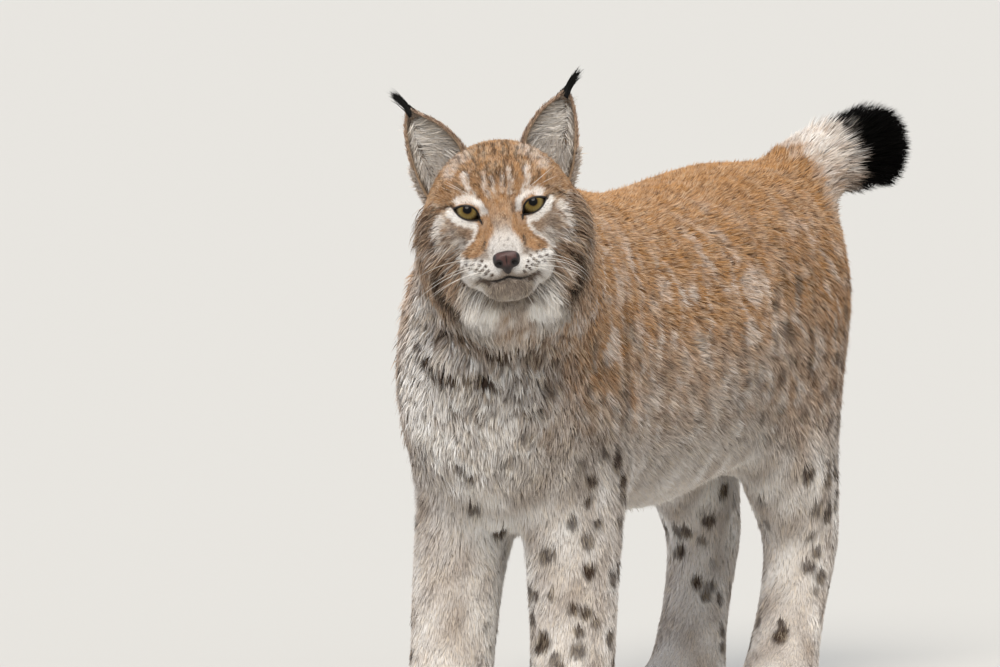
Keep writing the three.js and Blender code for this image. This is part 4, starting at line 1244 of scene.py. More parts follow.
# %% [markdown]
# ## Roots
# Roots are scattered by chance over the skin's triangles, as many as the area's thickness asks
# for. Each also notes how fast the skin turns below it, so that a short tuft can follow the bend
# without looking for the skin again. None grow on the eyes, nose, lips and soles.
# %% Roots
# Tufts on a square millimetre of each area, and the points along each tuft.
THICKNESS = {
    "head": (1.5, 2), "neck": (0.45, 3), "tail": (0.5, 2), "forelegs": (0.42, 2),
    "hindlegs": (0.42, 2), "trunk_left": (0.8, 2), "trunk_right": (0.8, 2),
}


def roots_on(mesh, share_kept):
    """Random roots on the skin: place, facing, area, and how fast the facing turns there."""
    mesh.calc_loop_triangles()
    corners = read(mesh.loop_triangles, "vertices", 3, np.int32)
    co = read(mesh.vertices, "co") / MM
    normal = unit(ease(read(mesh.vertices, "normal"), read(mesh.edges, "vertices", 2, np.int32), 4))
    a, b, c = (co[corners[:, k]] for k in range(3))
    size = np.linalg.norm(np.cross(b - a, c - a), axis=1) / 2
    areas = area_of((a + b + c) / 3)
    density = np.zeros(len(areas))
    for area, (thickness, _) in THICKNESS.items():
        density[areas == area] = thickness
    count = (share_kept * size * density + draw.random(len(size))).astype(int)
    pick = np.repeat(np.arange(len(corners)), count)
    u, v = draw.random((2, len(pick)))
    over = u + v > 1
    u[over], v[over] = 1 - u[over], 1 - v[over]
    share = np.stack([1 - u - v, u, v], axis=1)[:, :, None]
    sides = np.stack([b - a, c - a], axis=1)
    swing = np.stack([normal[corners[:, k]] - normal[corners[:, 0]] for k in (1, 2)], axis=1)
    square = sides @ sides.transpose(0, 2, 1) + np.eye(2) * 1e-6
    turning = (np.linalg.inv(square) @ sides).transpose(0, 2, 1) @ swing
    facing = unit((normal[corners[pick]] * share).sum(axis=1))
    return (co[corners[pick]] * share).sum(axis=1), facing, areas[pick], turning[pick]


roots, root_normals, areas, turning = roots_on(skin.data, 1.0)
h = to_head(roots)
bare = (eye_opening(h[:, 0], h[:, 2]) > -1.2) & (h[:, 1] < 26)
bare |= (np.linalg.norm((h - [0, -43, -54]) / [14, 14, 12], axis=1) < 1)
bare |= (line_gap(np.abs(h[:, 0]), h[:, 2], MOUTH) < 0.8) & (h[:, 1] < 14)
bare |= (roots[:, 2] < 2.5) & (root_normals[:, 2] < -0.5)
roots, root_normals, areas, turning = (v[~bare] for v in (roots, root_normals, areas, turning))
print("roots:", len(roots))

# %% [markdown]
# ## Laying the tufts
# A tuft starts just under the skin, rises to its height and follows the skin to its tip. On the
# head, neck and tail, where the form is small or the hair long, the skin is found again under it.
# Near tufts lean to a common tip and often share their tone, as real fur parts into locks.
# %% Finding the skin and the locks
skin_tree = BVHTree.FromPolygons(
    (read(skin.data.vertices, "co") / MM).tolist(), [tuple(p.vertices) for p in skin.data.polygons])


def above_skin(place, height):
    """The place moved to `height` over the nearest skin."""
    out = np.empty_like(place)
    for i, (p, rise) in enumerate(zip(place.tolist(), height.tolist())):
        spot, normal, _, _ = skin_tree.find_nearest(p)
        out[i] = spot[0] + normal[0] * rise, spot[1] + normal[1] * rise, spot[2] + normal[2] * rise
    return out


def locks_of(place, size):
    """For each tuft, the first tuft of the lock it belongs to: locks are warped cells of space."""
    warp = np.stack([ripple(place, 3 * size, seed) for seed in (31, 32, 33)], axis=1) * size * 0.7
    cell = np.floor((place + warp) / size).astype(np.int64)
    code = (cell[:, 0] * 4001 + cell[:, 1]) * 4001 + cell[:, 2]
    _, first, own = np.unique(code, return_index=True, return_inverse=True)
    return first[own.ravel()]

print("locks on the skin:", len(set(locks_of(set_in, 7.0).tolist())))

# %% [markdown]
# The guides give each tuft its length, height, width and run. Chance and ripples vary them, so that
# the coat swirls a little and no two tufts are alike. One tuft in twenty stands higher than the
# rest and breaks the outline.
# %% Laying
SAME_TONE = 0.45  # the share of tufts that have their lock's tone
ROOT_DEEP = 1.2
def lay_tufts(roots, normals, turning, stations, exact, lock=7.0):
    """Paths of tufts along the skin; `exact` finds it under each tip, else its bend is enough."""
    guide = coat_at(roots)
    length = guide[:, 3] * draw.uniform(0.72, 1.18, len(roots))
    length *= 1 + 0.12 * ripple(roots, 30, 21)
    height, width = guide[:, 4], guide[:, 5] * draw.uniform(0.75, 1.25, len(roots))
    run = unit(guide[:, :3] - normals * (guide[:, :3] * normals).sum(axis=1)[:, None])
    swirl = 0.20 * ripple(roots, 34, 22) + 0.16 * ripple(roots, 12, 23)
    swirl += draw.normal(0, 0.13, len(roots))
    run = run * np.cos(swirl)[:, None] + np.cross(normals, run) * np.sin(swirl)[:, None]
    bend = np.clip(np.einsum("ni,nij,nj->n", run, turning, run), -0.012, 0.03)
    first = locks_of(roots, lock)
    pull = np.clip((length - 4) / 26, 0.1, 0.7) * draw.uniform(0.6, 1.1, len(roots))
    aims = roots + run * length[:, None]
    aims += (aims[first] - aims) * pull[:, None]
    lively = np.where(draw.random(len(roots)) < 0.05, 1.5, 1.0)
    rise = height * draw.uniform(0.55, 1.1, len(roots)) * lively
    if exact:
        tip = above_skin(aims, rise)
    else:
        tip = aims + normals * (rise - bend * length ** 2 / 2)[:, None]
    steps = [roots - normals * ROOT_DEEP, tip]
    if stations == 3:
        steps.insert(1, above_skin(roots + (aims - roots) * 0.5, rise * 0.72))
    twist = draw.normal(0, 0.4, len(roots))[:, None]
    across = unit(np.cross(normals, tip - roots))
    across = across * np.cos(twist) + normals * np.sin(twist)
    taper = [0.8, 1.0, 0.0] if stations == 3 else [1.35, 0.0]
    chance = draw.random(len(roots))
    chance = np.where(draw.random(len(roots)) < SAME_TONE, chance[first], chance)
    return np.stack(steps, axis=1), across, width[:, None] * taper, chance

print("tufts will be laid on", len(THICKNESS), "areas")

# %% [markdown]
# Each area is laid in one go and cut into as many pieces as its triangles ask for. The marks are
# read between root and tip with a small stray, which makes the edges of the spots ragged.
# %% The coat's pieces
MOST = 190000  # triangles in a piece
WHITE_LIFT = 0.35  # white tufts are seldom the dark ones of their lock
for area, (_, stations) in THICKNESS.items():
    own = np.flatnonzero(areas == area)
    exact = area in ("head", "neck", "tail")
    paths, across, widths, chance = lay_tufts(
        roots[own], root_normals[own], turning[own], stations, exact)
    paths[:, :, 2] = np.maximum(paths[:, :, 2], LOWEST_HAIR)
    stray = draw.normal(0, 0.8 if area == "head" else 0.5, (len(own), 3))
    marks = markings(paths[:, 0] * 0.6 + paths[:, -1] * 0.4 + stray)
    chance += (1 - chance) * WHITE_LIFT * marks[:, 1]
    uv = unwrap(area, roots[own])
    per_piece = MOST // (2 * stations - 3)
    for n, some in enumerate(np.array_split(np.arange(len(own)), -(-len(own) // per_piece))):
        build_blades(f"coat_{area}_{n + 1}", paths[some], across[some], widths[some], marks[some],
                     chance[some], uv[some], coat_finish)

# %% [markdown]
# ## The ruff
# Long locks hang from the cheeks like side whiskers. Combing them out of the short coat would make
# them stiff, so they are made on top of it: each lock is a bundle of blades whose roots spread over
# the cheek and whose tips come together. They are set out in tiers from the ear to the chin.
# %% Bowed blades
def bent(root, tip, bow, stations):
    """Points along a bow from roots to tips."""
    t = np.linspace(0, 1, stations)[None, :, None]
    middle = (root + tip) / 2 + bow
    return root[:, None] * (1 - t) ** 2 + 2 * middle[:, None] * t * (1 - t) + tip[:, None] * t ** 2


def sideways(paths, facing, sway):
    """The broad direction of each blade, turned a little about its own length."""
    along = unit(paths[:, -1] - paths[:, 0])
    across = unit(np.cross(facing, along))
    over = np.cross(along, across)
    turned = draw.normal(0, sway, len(paths))[:, None]
    return across * np.cos(turned) + over * np.sin(turned)


TAPER = np.array([0.75, 1.0, 0.8, 0.45, 0.0])
print("a long blade narrows like this:", TAPER.tolist())

# %% [markdown]
# Four tiers of locks lie over one another, each a little further back or in. The tips follow a
# table from beside the ear, past the jaw's corner, to the throat.
# %% Locks of the ruff
# How far round the cheek, then the tip's x, y, z in the head's frame, then the drop of the root.
RUFF = smooth_rows([
    [0.00, 88, 56, -12, 0.50], [0.17, 92, 54, -32, 0.20], [0.34, 89, 50, -54, -0.05],
    [0.50, 82, 44, -75, -0.30], [0.67, 71, 38, -95, -0.60], [0.84, 57, 31, -112, -0.95],
    [1.00, 40, 24, -122, -1.30],
])
# Locks, from, to, roots' x and y direction, tips' scale and shift in y.
RUFF_TIERS = [
    (30, 0.36, 1.0, 0.66, -0.36, 0.93, -16), (54, 0.0, 1.0, 0.90, -0.05, 1.0, 0),
    (34, 0.0, 0.9, 0.95, 0.40, 0.98, 20), (26, 0.1, 1.0, 0.78, -0.22, 0.97, -8),
]
HAIRS = 52


def ruff_locks():
    rows = []
    for side in (1, -1):
        for count, start, end, out_x, back, scale, shift in RUFF_TIERS:
            t = np.linspace(start, end, count) + draw.uniform(-0.02, 0.02, count)
            tip_x, tip_y, tip_z, drop = RUFF(np.clip(t, 0, 1)).T
            same = np.ones(count)
            rows.append(np.stack([
                side * out_x * same, back * same, drop,
                side * tip_x * scale, tip_y + shift, tip_z * scale,
            ], axis=1))
    rows = np.vstack(rows)
    rows[:, 3:] += draw.uniform(-4, 4, (len(rows), 3))
    reach = np.repeat(walk_out(head_form, HEAD_CENTRE, unit(rows[:, :3])), HAIRS)
    aim, tip = np.repeat(unit(rows[:, :3]), HAIRS, axis=0), np.repeat(rows[:, 3:], HAIRS, axis=0)
    near = unit(aim + draw.normal(0, 0.10, aim.shape))
    root = HEAD_CENTRE + near * (reach - 9)[:, None]
    tip = tip + draw.normal(0, 3.2, tip.shape)
    tip = root + (tip - root) * draw.uniform(0.45, 0.98, (len(tip), 1))
    bow = aim * draw.uniform(8, 13, (len(tip), 1)) + draw.normal(0, 1.2, tip.shape)
    return bent(root, tip, bow, 5), aim


paths, facing = ruff_locks()
local = paths.copy()
paths = from_head(paths)
widths = draw.uniform(0.5, 0.95, len(paths))[:, None] * TAPER
marks = markings(from_head(local[:, 2]))
chance = draw.random(len(paths))
chance += (1 - chance) * WHITE_LIFT * marks[:, 1]
build_blades("coat_ruff", paths, sideways(paths, facing @ HEAD_TURN.T, 0.5), widths, marks,
             chance, unwrap("ruff", paths[:, 0]), coat_finish)

# %% [markdown]
# ## The brush
# The tail ends in a black, bushy brush. A swollen solid would have a hard edge against the light,
# so it is all hair, which leans out from the tail and bows back along it. Its reach follows a
# table, so the brush is round and its end blunt.
# %% Hair of the brush
BRUSH = smooth_rows([[0.40, 48], [0.62, 50], [0.77, 51], [0.89, 44], [1.0, 22]])


def brush_hair(count):
    t = draw.uniform(0.42, 1.0, count)
    middle, run, side, over = tail_frame(t)
    angle = draw.uniform(0, 2 * math.pi, count)[:, None]
    out = side * np.cos(angle) + over * np.sin(angle)
    reach = BRUSH(t)[:, 0:1] * draw.uniform(0.80, 1.03, (count, 1))
    root = middle + out * 15 - run * 8
    tip = middle + out * reach + run * draw.uniform(16, 28, (count, 1))
    return bent(root, tip, out * 8 + draw.normal(0, 1.5, (count, 3)), 5), out


paths, out = brush_hair(9000)
widths = draw.uniform(1.0, 1.9, len(paths))[:, None] * TAPER
build_blades("coat_brush", paths, sideways(paths, out, 0.6), widths, markings(paths[:, 1]),
             draw.random(len(paths)), unwrap("tail", paths[:, 0]), brush_finish)

# %% [markdown]
# ## Ears
# An ear is a cupped sheet of skin, open to the front. It could be cut from a cone, but its edges
# aren't straight: six rows give both edges, the cup's depth and the sheet's thickness, and any
# point of the ear is read from them. So the hair, too, can ask where it stands.
# %% Form of the ear
# How far up, inner edge x, z, outer edge x, z, front edge's y, depth of the cup, thickness.
EAR = smooth_rows([
    [0.00, 28, 52, 72, 8, 66, 34, 9], [0.25, 30, 68, 81, 33, 62, 33, 6],
    [0.50, 40, 83, 85.5, 58, 60, 27, 4.4], [0.75, 55, 97, 87, 82, 60, 18, 3.4],
    [0.92, 69, 105, 85, 99, 60, 9, 2.6], [1.00, 77.5, 110, 82, 110, 60, 3, 2],
])


def ear_point(side, t, s, layer):
    """A point of the ear: t up it, s from inner to outer edge, layer from 0, back, to 1, front."""
    in_x, in_z, out_x, out_z, y, cup, thick = np.moveaxis(EAR(t), -1, 0)
    turned = s * math.pi
    wide = 1 - layer * 2 * thick / np.hypot(out_x - in_x, out_z - in_z)
    share = 0.5 - np.cos(turned) / 2 * wide
    back = np.sin(turned) * np.maximum(cup - layer * thick, 0.6) + layer * thick * 0.25
    return np.stack([
        side * (in_x + (out_x - in_x) * share), y + back,
        in_z + (out_z - in_z) * share + np.sin(turned) * 4,
    ], axis=-1)


def ear_axes(side, t, s, layer):
    """Point, direction up the ear, direction across it and the way the surface faces."""
    at = ear_point(side, t, s, layer)
    step = 0.02
    ahead, behind = np.minimum(t + step, 1 + step), t - step
    upward = unit(ear_point(side, ahead, s, layer) - ear_point(side, behind, s, layer))
    across = unit(ear_point(side, t, s + step, layer) - ear_point(side, t, s - step, layer))
    outward = unit(np.cross(upward, across))
    away = at - ear_point(side, t, np.full_like(s, 0.5), np.full_like(s, 3.0))
    outward *= np.sign((outward * away).sum(axis=-1, keepdims=True))
    return at, upward, across, outward * np.where(layer < 0.5, 1, -1)[..., None]

tip = ear_point(1, np.array([1.0]), np.array([0.5]), np.array([0.0]))[0]
print("ear's tip, in the head's frame:", tip.round(1).tolist())

# %% [markdown]
# The skin in the cup is thin and shows its veins, so a soft noise varies its colour and presses a
# low relief into it. It is closed into a sheet with a back, a front and an end, as real mesh.
# %% Lining and sheet of the ear
ear_lining, tree, shader = material("ear_lining", Roughness=0.6, Specular_IOR_Level=0.3)
place = add_node(tree, "ShaderNodeTexCoord")
veins = add_node(tree, "ShaderNodeTexNoise")
veins.inputs["Scale"].default_value = 160
tree.links.new(place.outputs["Object"], veins.inputs["Vector"])
vein = mapped(tree, veins.outputs["Fac"], 0.3, 0.7, 0.0, 1.0)
flush = mixed(tree, vein, rgb("8d7760"), rgb("a8917a"))
tree.links.new(flush, shader.inputs["Base Color"])
press = add_node(tree, "ShaderNodeBump")
press.inputs["Strength"].default_value = 0.3
press.inputs["Distance"].default_value = 0.0005
tree.links.new(veins.outputs["Fac"], press.inputs["Height"])
tree.links.new(press.outputs["Normal"], shader.inputs["Normal"])


def mesh_piece(name, points, faces, finish, replaced=()):
    mesh = bpy.data.meshes.new(name)
    mesh.from_pydata((np.asarray(points) * MM).tolist(), [], faces)
    mesh.update()
    mesh.polygons.foreach_set("use_smooth", np.ones(len(mesh.polygons), bool))
    mesh.materials.append(finish)
    made = bpy.data.objects.new(name, mesh)
    scene.collection.objects.link(made)
    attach(made, "root")
    if replaced:
        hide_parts(*replaced)
    return made


def ear_sheet(side, name):
    rings, across = 30, 22
    s = np.linspace(0, 1, across + 1)
    loop_s = np.concatenate([s, s[::-1]])
    loop_layer = np.concatenate([np.full(across + 1, 0.3), np.full(across + 1, 0.8)])
    loop = len(loop_s)
    t = np.repeat(np.linspace(0, 0.99, rings + 1), loop)
    points = ear_point(side, t, np.tile(loop_s, rings + 1), np.tile(loop_layer, rings + 1))
    faces = []
    for ring in range(rings):
        for i in range(loop):
            a, b = ring * loop + i, ring * loop + (i + 1) % loop
            faces.append((a, b, b + loop, a + loop) if side > 0 else (a, a + loop, b + loop, b))
    top = rings * loop
    faces.append(tuple(top + i for i in range(loop))[::side])
    place = from_head(points)
    return mesh_piece(f"ear_skin_{name}", place, faces, ear_lining, (f"ear_{name}",))


ear_sheet(1, "left")
ear_sheet(-1, "right")

# %% [markdown]
# The ear's back is furred in black round a pale patch, its edges carry a fringe, long pale hairs
# cross the cup, and the tip ends in the black tuft that every lynx is known by. Each of these is a
# batch of blades with its own place, lean and length, and its own marks.
# %% Marks and hair of the ear
def ear_hair(side, count, t_range, s_range, layer, lean, length, height, width, marks_of):
    """Blades on one part of an ear. `lean` is the run of the hair: up the ear, and across it."""
    t, s = draw.uniform(*t_range, count), draw.uniform(*s_range, count)
    at, upward, across, outward = ear_axes(side, t, s, np.full(count, float(layer)))
    run = unit(upward * lean[0] + across * lean[1] + draw.normal(0, 0.13, (count, 3)))
    long = length * draw.uniform(0.7, 1.2, (count, 1))
    tip = at + run * long + outward * height * draw.uniform(0.4, 1.2, (count, 1))
    paths = bent(at - outward * 0.8, tip, outward * height * 0.5, 4)
    widths = width * draw.uniform(0.7, 1.3, count)[:, None] * np.array([0.8, 1.0, 0.7, 0.0])
    return paths, outward, widths, marks_of(t, s, count), np.stack([s, t], axis=1)


def even_marks(*values):
    return lambda t, s, count: np.tile(np.array(values, float), (count, 1))


def back_marks(t, s, count):
    off = np.abs(s - 0.5)
    patch = sstep(0.30, 0.16, off) * sstep(0.22, 0.36, t) * sstep(0.72, 0.58, t)
    black = sstep(0.42, 0.34, off) * sstep(0.1, 0.3, t) * (1 - patch)
    tawny = 0.75 * (1 - black) * (1 - patch)
    return np.stack([tawny, 0.3 + 0.5 * patch, 0 * t, black * 0.95], axis=1)


# painted shade: the short hair in the cup darkens in its hollow, where shade falls
def cup_marks(t, s, count):
    hollow_shade = sstep(0.5, 0.68, s) * sstep(0.97, 0.88, s) * sstep(0.95, 0.7, t)
    return np.stack([0.4 - 0.3 * hollow_shade, 0.3 * (1 - hollow_shade), 0.3 + 0.55 * hollow_shade, 0 * t], axis=1)


def edge_marks(t, s, count):
    dusk = sstep(0.94, 0.99, t)
    return np.stack([np.full(count, 0.9), np.full(count, 0.3), 0 * dusk, 0.9 * dusk], axis=1)


TUFT_ROOT, TUFT_END = np.array([79.5, 60, 107]), np.array([96, 60, 129])


def tip_tuft(side, count):
    root = TUFT_ROOT * [side, 1, 1] + draw.normal(0, 1.2, (count, 3)) * [1, 1, 1.6]
    tip = TUFT_END * [side, 1, 1] + draw.normal(0, 1.7, (count, 3)) * [1.2, 1.2, 1.6]
    tip = root + (tip - root) * draw.uniform(0.7, 1.08, (count, 1))
    paths = bent(root, tip, np.array([side * -3.0, 0, 3.0]) + draw.normal(0, 0.5, (count, 3)), 4)
    widths = draw.uniform(0.7, 1.2, count)[:, None] * np.array([0.8, 1.0, 0.6, 0.0])
    face_on = np.tile([0.0, -1.0, 0.0], (count, 1))
    marks = even_marks(0, 0, 1, 1)(None, None, count)
    return paths, face_on, widths, marks, draw.uniform(0.4, 0.6, (count, 2))

print("tufts of the tips are", round(np.linalg.norm(TUFT_END - TUFT_ROOT)), "mm long")

# %% [markdown]
# The batches are listed from the back of the ear to the hair in the cup, which is laid last and
# lies on top. The list is the place to try another length or lean.
# %% Coats of the ears
# Count, limits up the ear, limits across, layer, lean, length, height, width and marks.
WHITE_HAIR = even_marks(0, 1, 0, 0)
BATCHES = [
    (5200, (0.02, 0.97), (0.02, 0.98), 0, (1, 0), 6.5, 1.0, 1.2, back_marks),
    (1500, (0.0, 0.98), (0.0, 0.06), 0.4, (0.9, -0.1), 5, 0.8, 0.8, edge_marks),
    (1500, (0.0, 0.98), (0.94, 1.0), 0.4, (0.95, 0.1), 5, 0.8, 0.8, edge_marks),
    (2600, (0.02, 0.96), (0.03, 0.97), 1, (1.0, 0.1), 5, 0.7, 0.9, cup_marks),
    (2000, (0.02, 0.84), (0.02, 0.24), 1, (0.55, 0.85), 25, 9, 0.9, WHITE_HAIR),
    (900, (0.02, 0.66), (0.2, 0.5), 1, (0.7, 0.7), 20, 7, 0.8, WHITE_HAIR),
    (350, (0.04, 0.8), (0.86, 0.98), 1, (0.9, -0.5), 12, 5, 0.8, WHITE_HAIR),
    (500, (0.0, 0.3), (0.1, 0.9), 1, (1.0, 0.2), 18, 7, 0.8, even_marks(0.05, 0.8, 0, 0)),
    (300, (0.0, 0.16), (0.0, 0.12), 0.4, (0.75, -0.6), 11, 3, 0.9, even_marks(0.7, 0.25, 0.1, 0)),
    (500, (0.0, 0.4), (0.9, 1.0), 0.4, (0.5, 0.9), 13, 4, 0.9, even_marks(0.4, 0.7, 0, 0)),
]


def ear_coat(side, name):
    batches = [ear_hair(side, *batch) for batch in BATCHES] + [tip_tuft(side, 150)]
    paths, facing, widths, marks, uv = (np.concatenate(column) for column in zip(*batches))
    paths = from_head(paths)
    chance = draw.random(len(paths))
    chance += (1 - chance) * 0.5 * marks[:, 1]
    side_of = sideways(paths, facing @ HEAD_TURN.T, 0.4)
    build_blades(f"coat_ear_{name}", paths, side_of, widths, marks, chance, uv, coat_finish)


ear_coat(1, "left")
ear_coat(-1, "right")

# %% [markdown]
# ## Eyes
# The eye of a lynx is a ball with a clear bulge in front. What matters is seen through it: a round
# black pupil, an iris of yellow-olive fibres that darkens to a ring, and a dark rest. A glass shell
# over a sunk iris would double the light's spot, so a clear coat on the iris stands for it. Each
# point carries its place across the iris, and a ramp paints the rings from that.
# %% Finish of the iris
iris_finish, tree, shader = material(
    "iris", Roughness=0.5, Specular_IOR_Level=0.05, Coat_Weight=0.22, Coat_Roughness=0.03)
gaze = attribute(tree, "gaze").outputs["Vector"]
away = add_node(tree, "ShaderNodeVectorMath", operation="LENGTH")
tree.links.new(gaze, away.inputs[0])
toward = add_node(tree, "ShaderNodeVectorMath", operation="NORMALIZE")
tree.links.new(gaze, toward.inputs[0])
fibres = add_node(tree, "ShaderNodeTexNoise")
fibres.inputs["Scale"].default_value = 9
fibres.inputs["Detail"].default_value = 4
tree.links.new(toward.outputs["Vector"], fibres.inputs["Vector"])
wobble = add_node(tree, "ShaderNodeMath", operation="MULTIPLY_ADD")
tree.links.new(fibres.outputs["Fac"], wobble.inputs[0])
wobble.inputs[1].default_value = 1.6
tree.links.new(away.outputs["Value"], wobble.inputs[2])
ring = add_node(tree, "ShaderNodeValToRGB")
tree.links.new(mapped(tree, wobble.outputs[0], 0.0, 14.0, 0.0, 1.0), ring.inputs[0])
STOPS = [
    (0.0, "020202"), (0.335, "030202"), (0.355, "453419"), (0.45, "766230"), (0.58, "837345"),
    (0.70, "655636"), (0.78, "352a17"), (0.85, "0d0907"), (1.0, "150e0a"),
]
while len(ring.color_ramp.elements) < len(STOPS):
    ring.color_ramp.elements.new(0.5)
for element, (at, colour) in zip(ring.color_ramp.elements, STOPS):
    element.position, element.color = at, rgb(colour)
fleck = add_node(tree, "ShaderNodeMath", operation="MULTIPLY")
tree.links.new(mapped(tree, fibres.outputs["Fac"], 0.35, 0.7, 0.0, 0.5), fleck.inputs[0])
tree.links.new(mapped(tree, away.outputs["Value"], 4.6, 5.4, 0.0, 1.0), fleck.inputs[1])
flecked = mixed(tree, fleck.outputs[0], ring.outputs[0], rgb("3f3110"))
tree.links.new(flecked, shader.inputs["Base Color"])

print("rings of the iris:", len(STOPS))

# %% [markdown]
# The ball is turned from rings round the line of sight, close together where the iris lies, and
# swells in front by 1.5 mm as a real cornea does.
# %% Eyeballs
def eyeball(side, name):
    polar = np.concatenate([np.linspace(0.02, 0.95, 30), np.linspace(1.0, 2.1, 12)])
    spokes = 56
    turned = np.arange(spokes) / spokes * 2 * math.pi
    th, ph = (v.ravel() for v in np.meshgrid(polar, turned, indexing="ij"))
    across = EYE_R * np.sin(th)
    bulge = 1.5 * np.clip(1 - (across / 11.8) ** 2, 0, 1) * (th < 1.5)
    reach = EYE_R - 0.1 + bulge
    sight = unit(np.array([side * -0.02, -1.0, 0.22]))
    one = unit(np.cross(sight, [0, 0, 1]))
    two = np.cross(one, sight)
    out = (
        sight * np.cos(th)[:, None]
        + (one * np.cos(ph)[:, None] + two * np.sin(ph)[:, None]) * np.sin(th)[:, None]
    )
    centre = EYE * [side, 1, 1]
    points = np.vstack([centre + out * reach[:, None], centre + sight * (EYE_R + 1.4)])
    faces = []
    for k in range(len(polar) - 1):
        for i in range(spokes):
            a, b = k * spokes + i, k * spokes + (i + 1) % spokes
            faces.append((a, a + spokes, b + spokes, b))
    faces += [(len(points) - 1, i, (i + 1) % spokes) for i in range(spokes)]
    place = from_head(points)
    made = mesh_piece(f"eyeball_{name}", place, faces, iris_finish, (f"eye_{name}",))
    flat = np.stack([across * np.cos(ph), across * np.sin(ph), 0 * ph], axis=1)
    flat = np.vstack([np.where((th > 1.5)[:, None], unit(flat) * 15, flat), [[0, 0, 0]]])
    made.data.attributes.new("gaze", "FLOAT_VECTOR", "POINT").data.foreach_set(
        "vector", flat.astype(np.float32).ravel())


eyeball(1, "left")
eyeball(-1, "right")
print("eyeballs of", 2 * EYE_R, "mm")

# %% [markdown]
# ## Rims of the lids, and lips
# The lids end in bare black rims that run out into a dark tear line at the inner corner. The lips
# have a bare edge too. A bevelled curve can't lie on a face, so the face is asked for its surface
# along the line, and a soft ring that changes in thickness is swept there.
# %% Reading the face, and sweeping
def front_of_head(x, z):
    """How far forward the face reaches at x, z: the y of its surface, seen from the front."""
    y = np.full(len(x), 40.0)
    going = np.ones(len(x), bool)
    for step in np.arange(-75, 40, 0.25):
        inside = head_form(np.stack([x, np.full(len(x), step), z], axis=1)) < 0
        y = np.where(going & inside, step, y)
        going &= ~inside
    return y


def swept(path, radii, sides=10, closed=False):
    """A cord along a path with its own radius at each point."""
    path = np.asarray(path, float)
    ahead, behind = np.roll(path, -1, axis=0), np.roll(path, 1, axis=0)
    if not closed:
        ahead[-1], behind[0] = path[-1], path[0]
    along = unit(ahead - behind)
    one = unit(np.cross(along, [0.1, -1.0, 0.2]))
    two = np.cross(along, one)
    turned = np.arange(sides) / sides * 2 * math.pi
    turned = turned[None, :, None]
    ring = one[:, None] * np.cos(turned) + two[:, None] * np.sin(turned)
    points = (path[:, None] + ring * np.asarray(radii)[:, None, None]).reshape(-1, 3)
    faces = []
    rings = len(path) if closed else len(path) - 1
    for k in range(rings):
        for i in range(sides):
            a, b = k * sides, (k + 1) % len(path) * sides
            j = (i + 1) % sides
            faces.append((a + i, a + j, b + j, b + i))
    if not closed:
        last = (len(path) - 1) * sides
        faces += [tuple(range(sides))[::-1], tuple(last + i for i in range(sides))]
    return points, faces

print("muzzle's front lies at y", front_of_head(np.array([0.0]), np.array([-50.0]))[0])

# %% [markdown]
# The rims are nearly black and moist, with fine pores. At the inner corner they thicken, and a
# tear line runs down from there beside the nose.
# %% Rims and lips
rim_finish, tree, shader = material("bare_rim", Roughness=0.42, Specular_IOR_Level=0.35)
place = add_node(tree, "ShaderNodeTexCoord")
pores = add_node(tree, "ShaderNodeTexNoise")
pores.inputs["Scale"].default_value = 1400
tree.links.new(place.outputs["Object"], pores.inputs["Vector"])
bare = mixed(tree, pores.outputs["Fac"], rgb("080605"), rgb("1c1411"))
tree.links.new(bare, shader.inputs["Base Color"])
press = add_node(tree, "ShaderNodeBump")
press.inputs["Strength"].default_value = 0.35
press.inputs["Distance"].default_value = 0.0003
tree.links.new(pores.outputs["Fac"], press.inputs["Height"])
tree.links.new(press.outputs["Normal"], shader.inputs["Normal"])


def lid_rim(side, name):
    outline = np.vstack([UPPER_LID[:-1], LOWER_LID[::-1][:-1]])
    x, z = outline.T
    skin_y = front_of_head(x, z)
    ball_y = EYE[1] - np.sqrt(np.maximum(EYE_R ** 2 - (x - EYE[0]) ** 2 - (z - EYE[2]) ** 2, 0))
    y = np.where(ball_y < 15.5, skin_y * 0.5 + ball_y * 0.5, skin_y + 0.8)
    corner = np.hypot(x - 21.5, z + 9)
    radii = 0.65 + 0.7 * np.exp(-(corner / 4) ** 2) + 0.45 * (np.arange(len(x)) < 24)
    radii = np.convolve(np.concatenate([radii[-2:], radii, radii[:2]]), np.ones(5) / 5, "valid")
    path = np.stack([x * side, y, z], axis=1)
    points, faces = swept(from_head(path), radii, closed=True)
    mesh_piece(f"lid_rim_{name}", points, faces, rim_finish)
    tear = np.array([(22, -8.6), (21.2, -10.6), (20.7, -12.4), (20.4, -14)])
    tear = np.column_stack([tear[:, 0], front_of_head(*tear.T) + 0.7, tear[:, 1]]) * [side, 1, 1]
    points, faces = swept(from_head(tear), [1.3, 1.1, 0.7, 0.25])
    mesh_piece(f"tear_line_{name}", points, faces, rim_finish)


lid_rim(1, "left")
lid_rim(-1, "right")
mouth = np.vstack([MOUTH[::-1] * [-1, 1], MOUTH[1:]])
fine = np.linspace(0, len(mouth) - 1, 60)
lip = np.stack([np.interp(fine, np.arange(len(mouth)), mouth[:, k]) for k in (0, 1)], axis=1)
lip = ease(lip, np.array([(i, i + 1) for i in range(59)]), 3)
lip_y = front_of_head(lip[:, 0], lip[:, 1])
points, faces = swept(
    from_head(np.stack([lip[:, 0], lip_y + 1.3, lip[:, 1]], axis=1)),
    0.08 + 0.62 * sstep(24, 8, np.abs(lip[:, 0])),
)
mesh_piece("lips", points, faces, rim_finish)
print("lips are", round(np.ptp(lip[:, 0])), "mm wide")

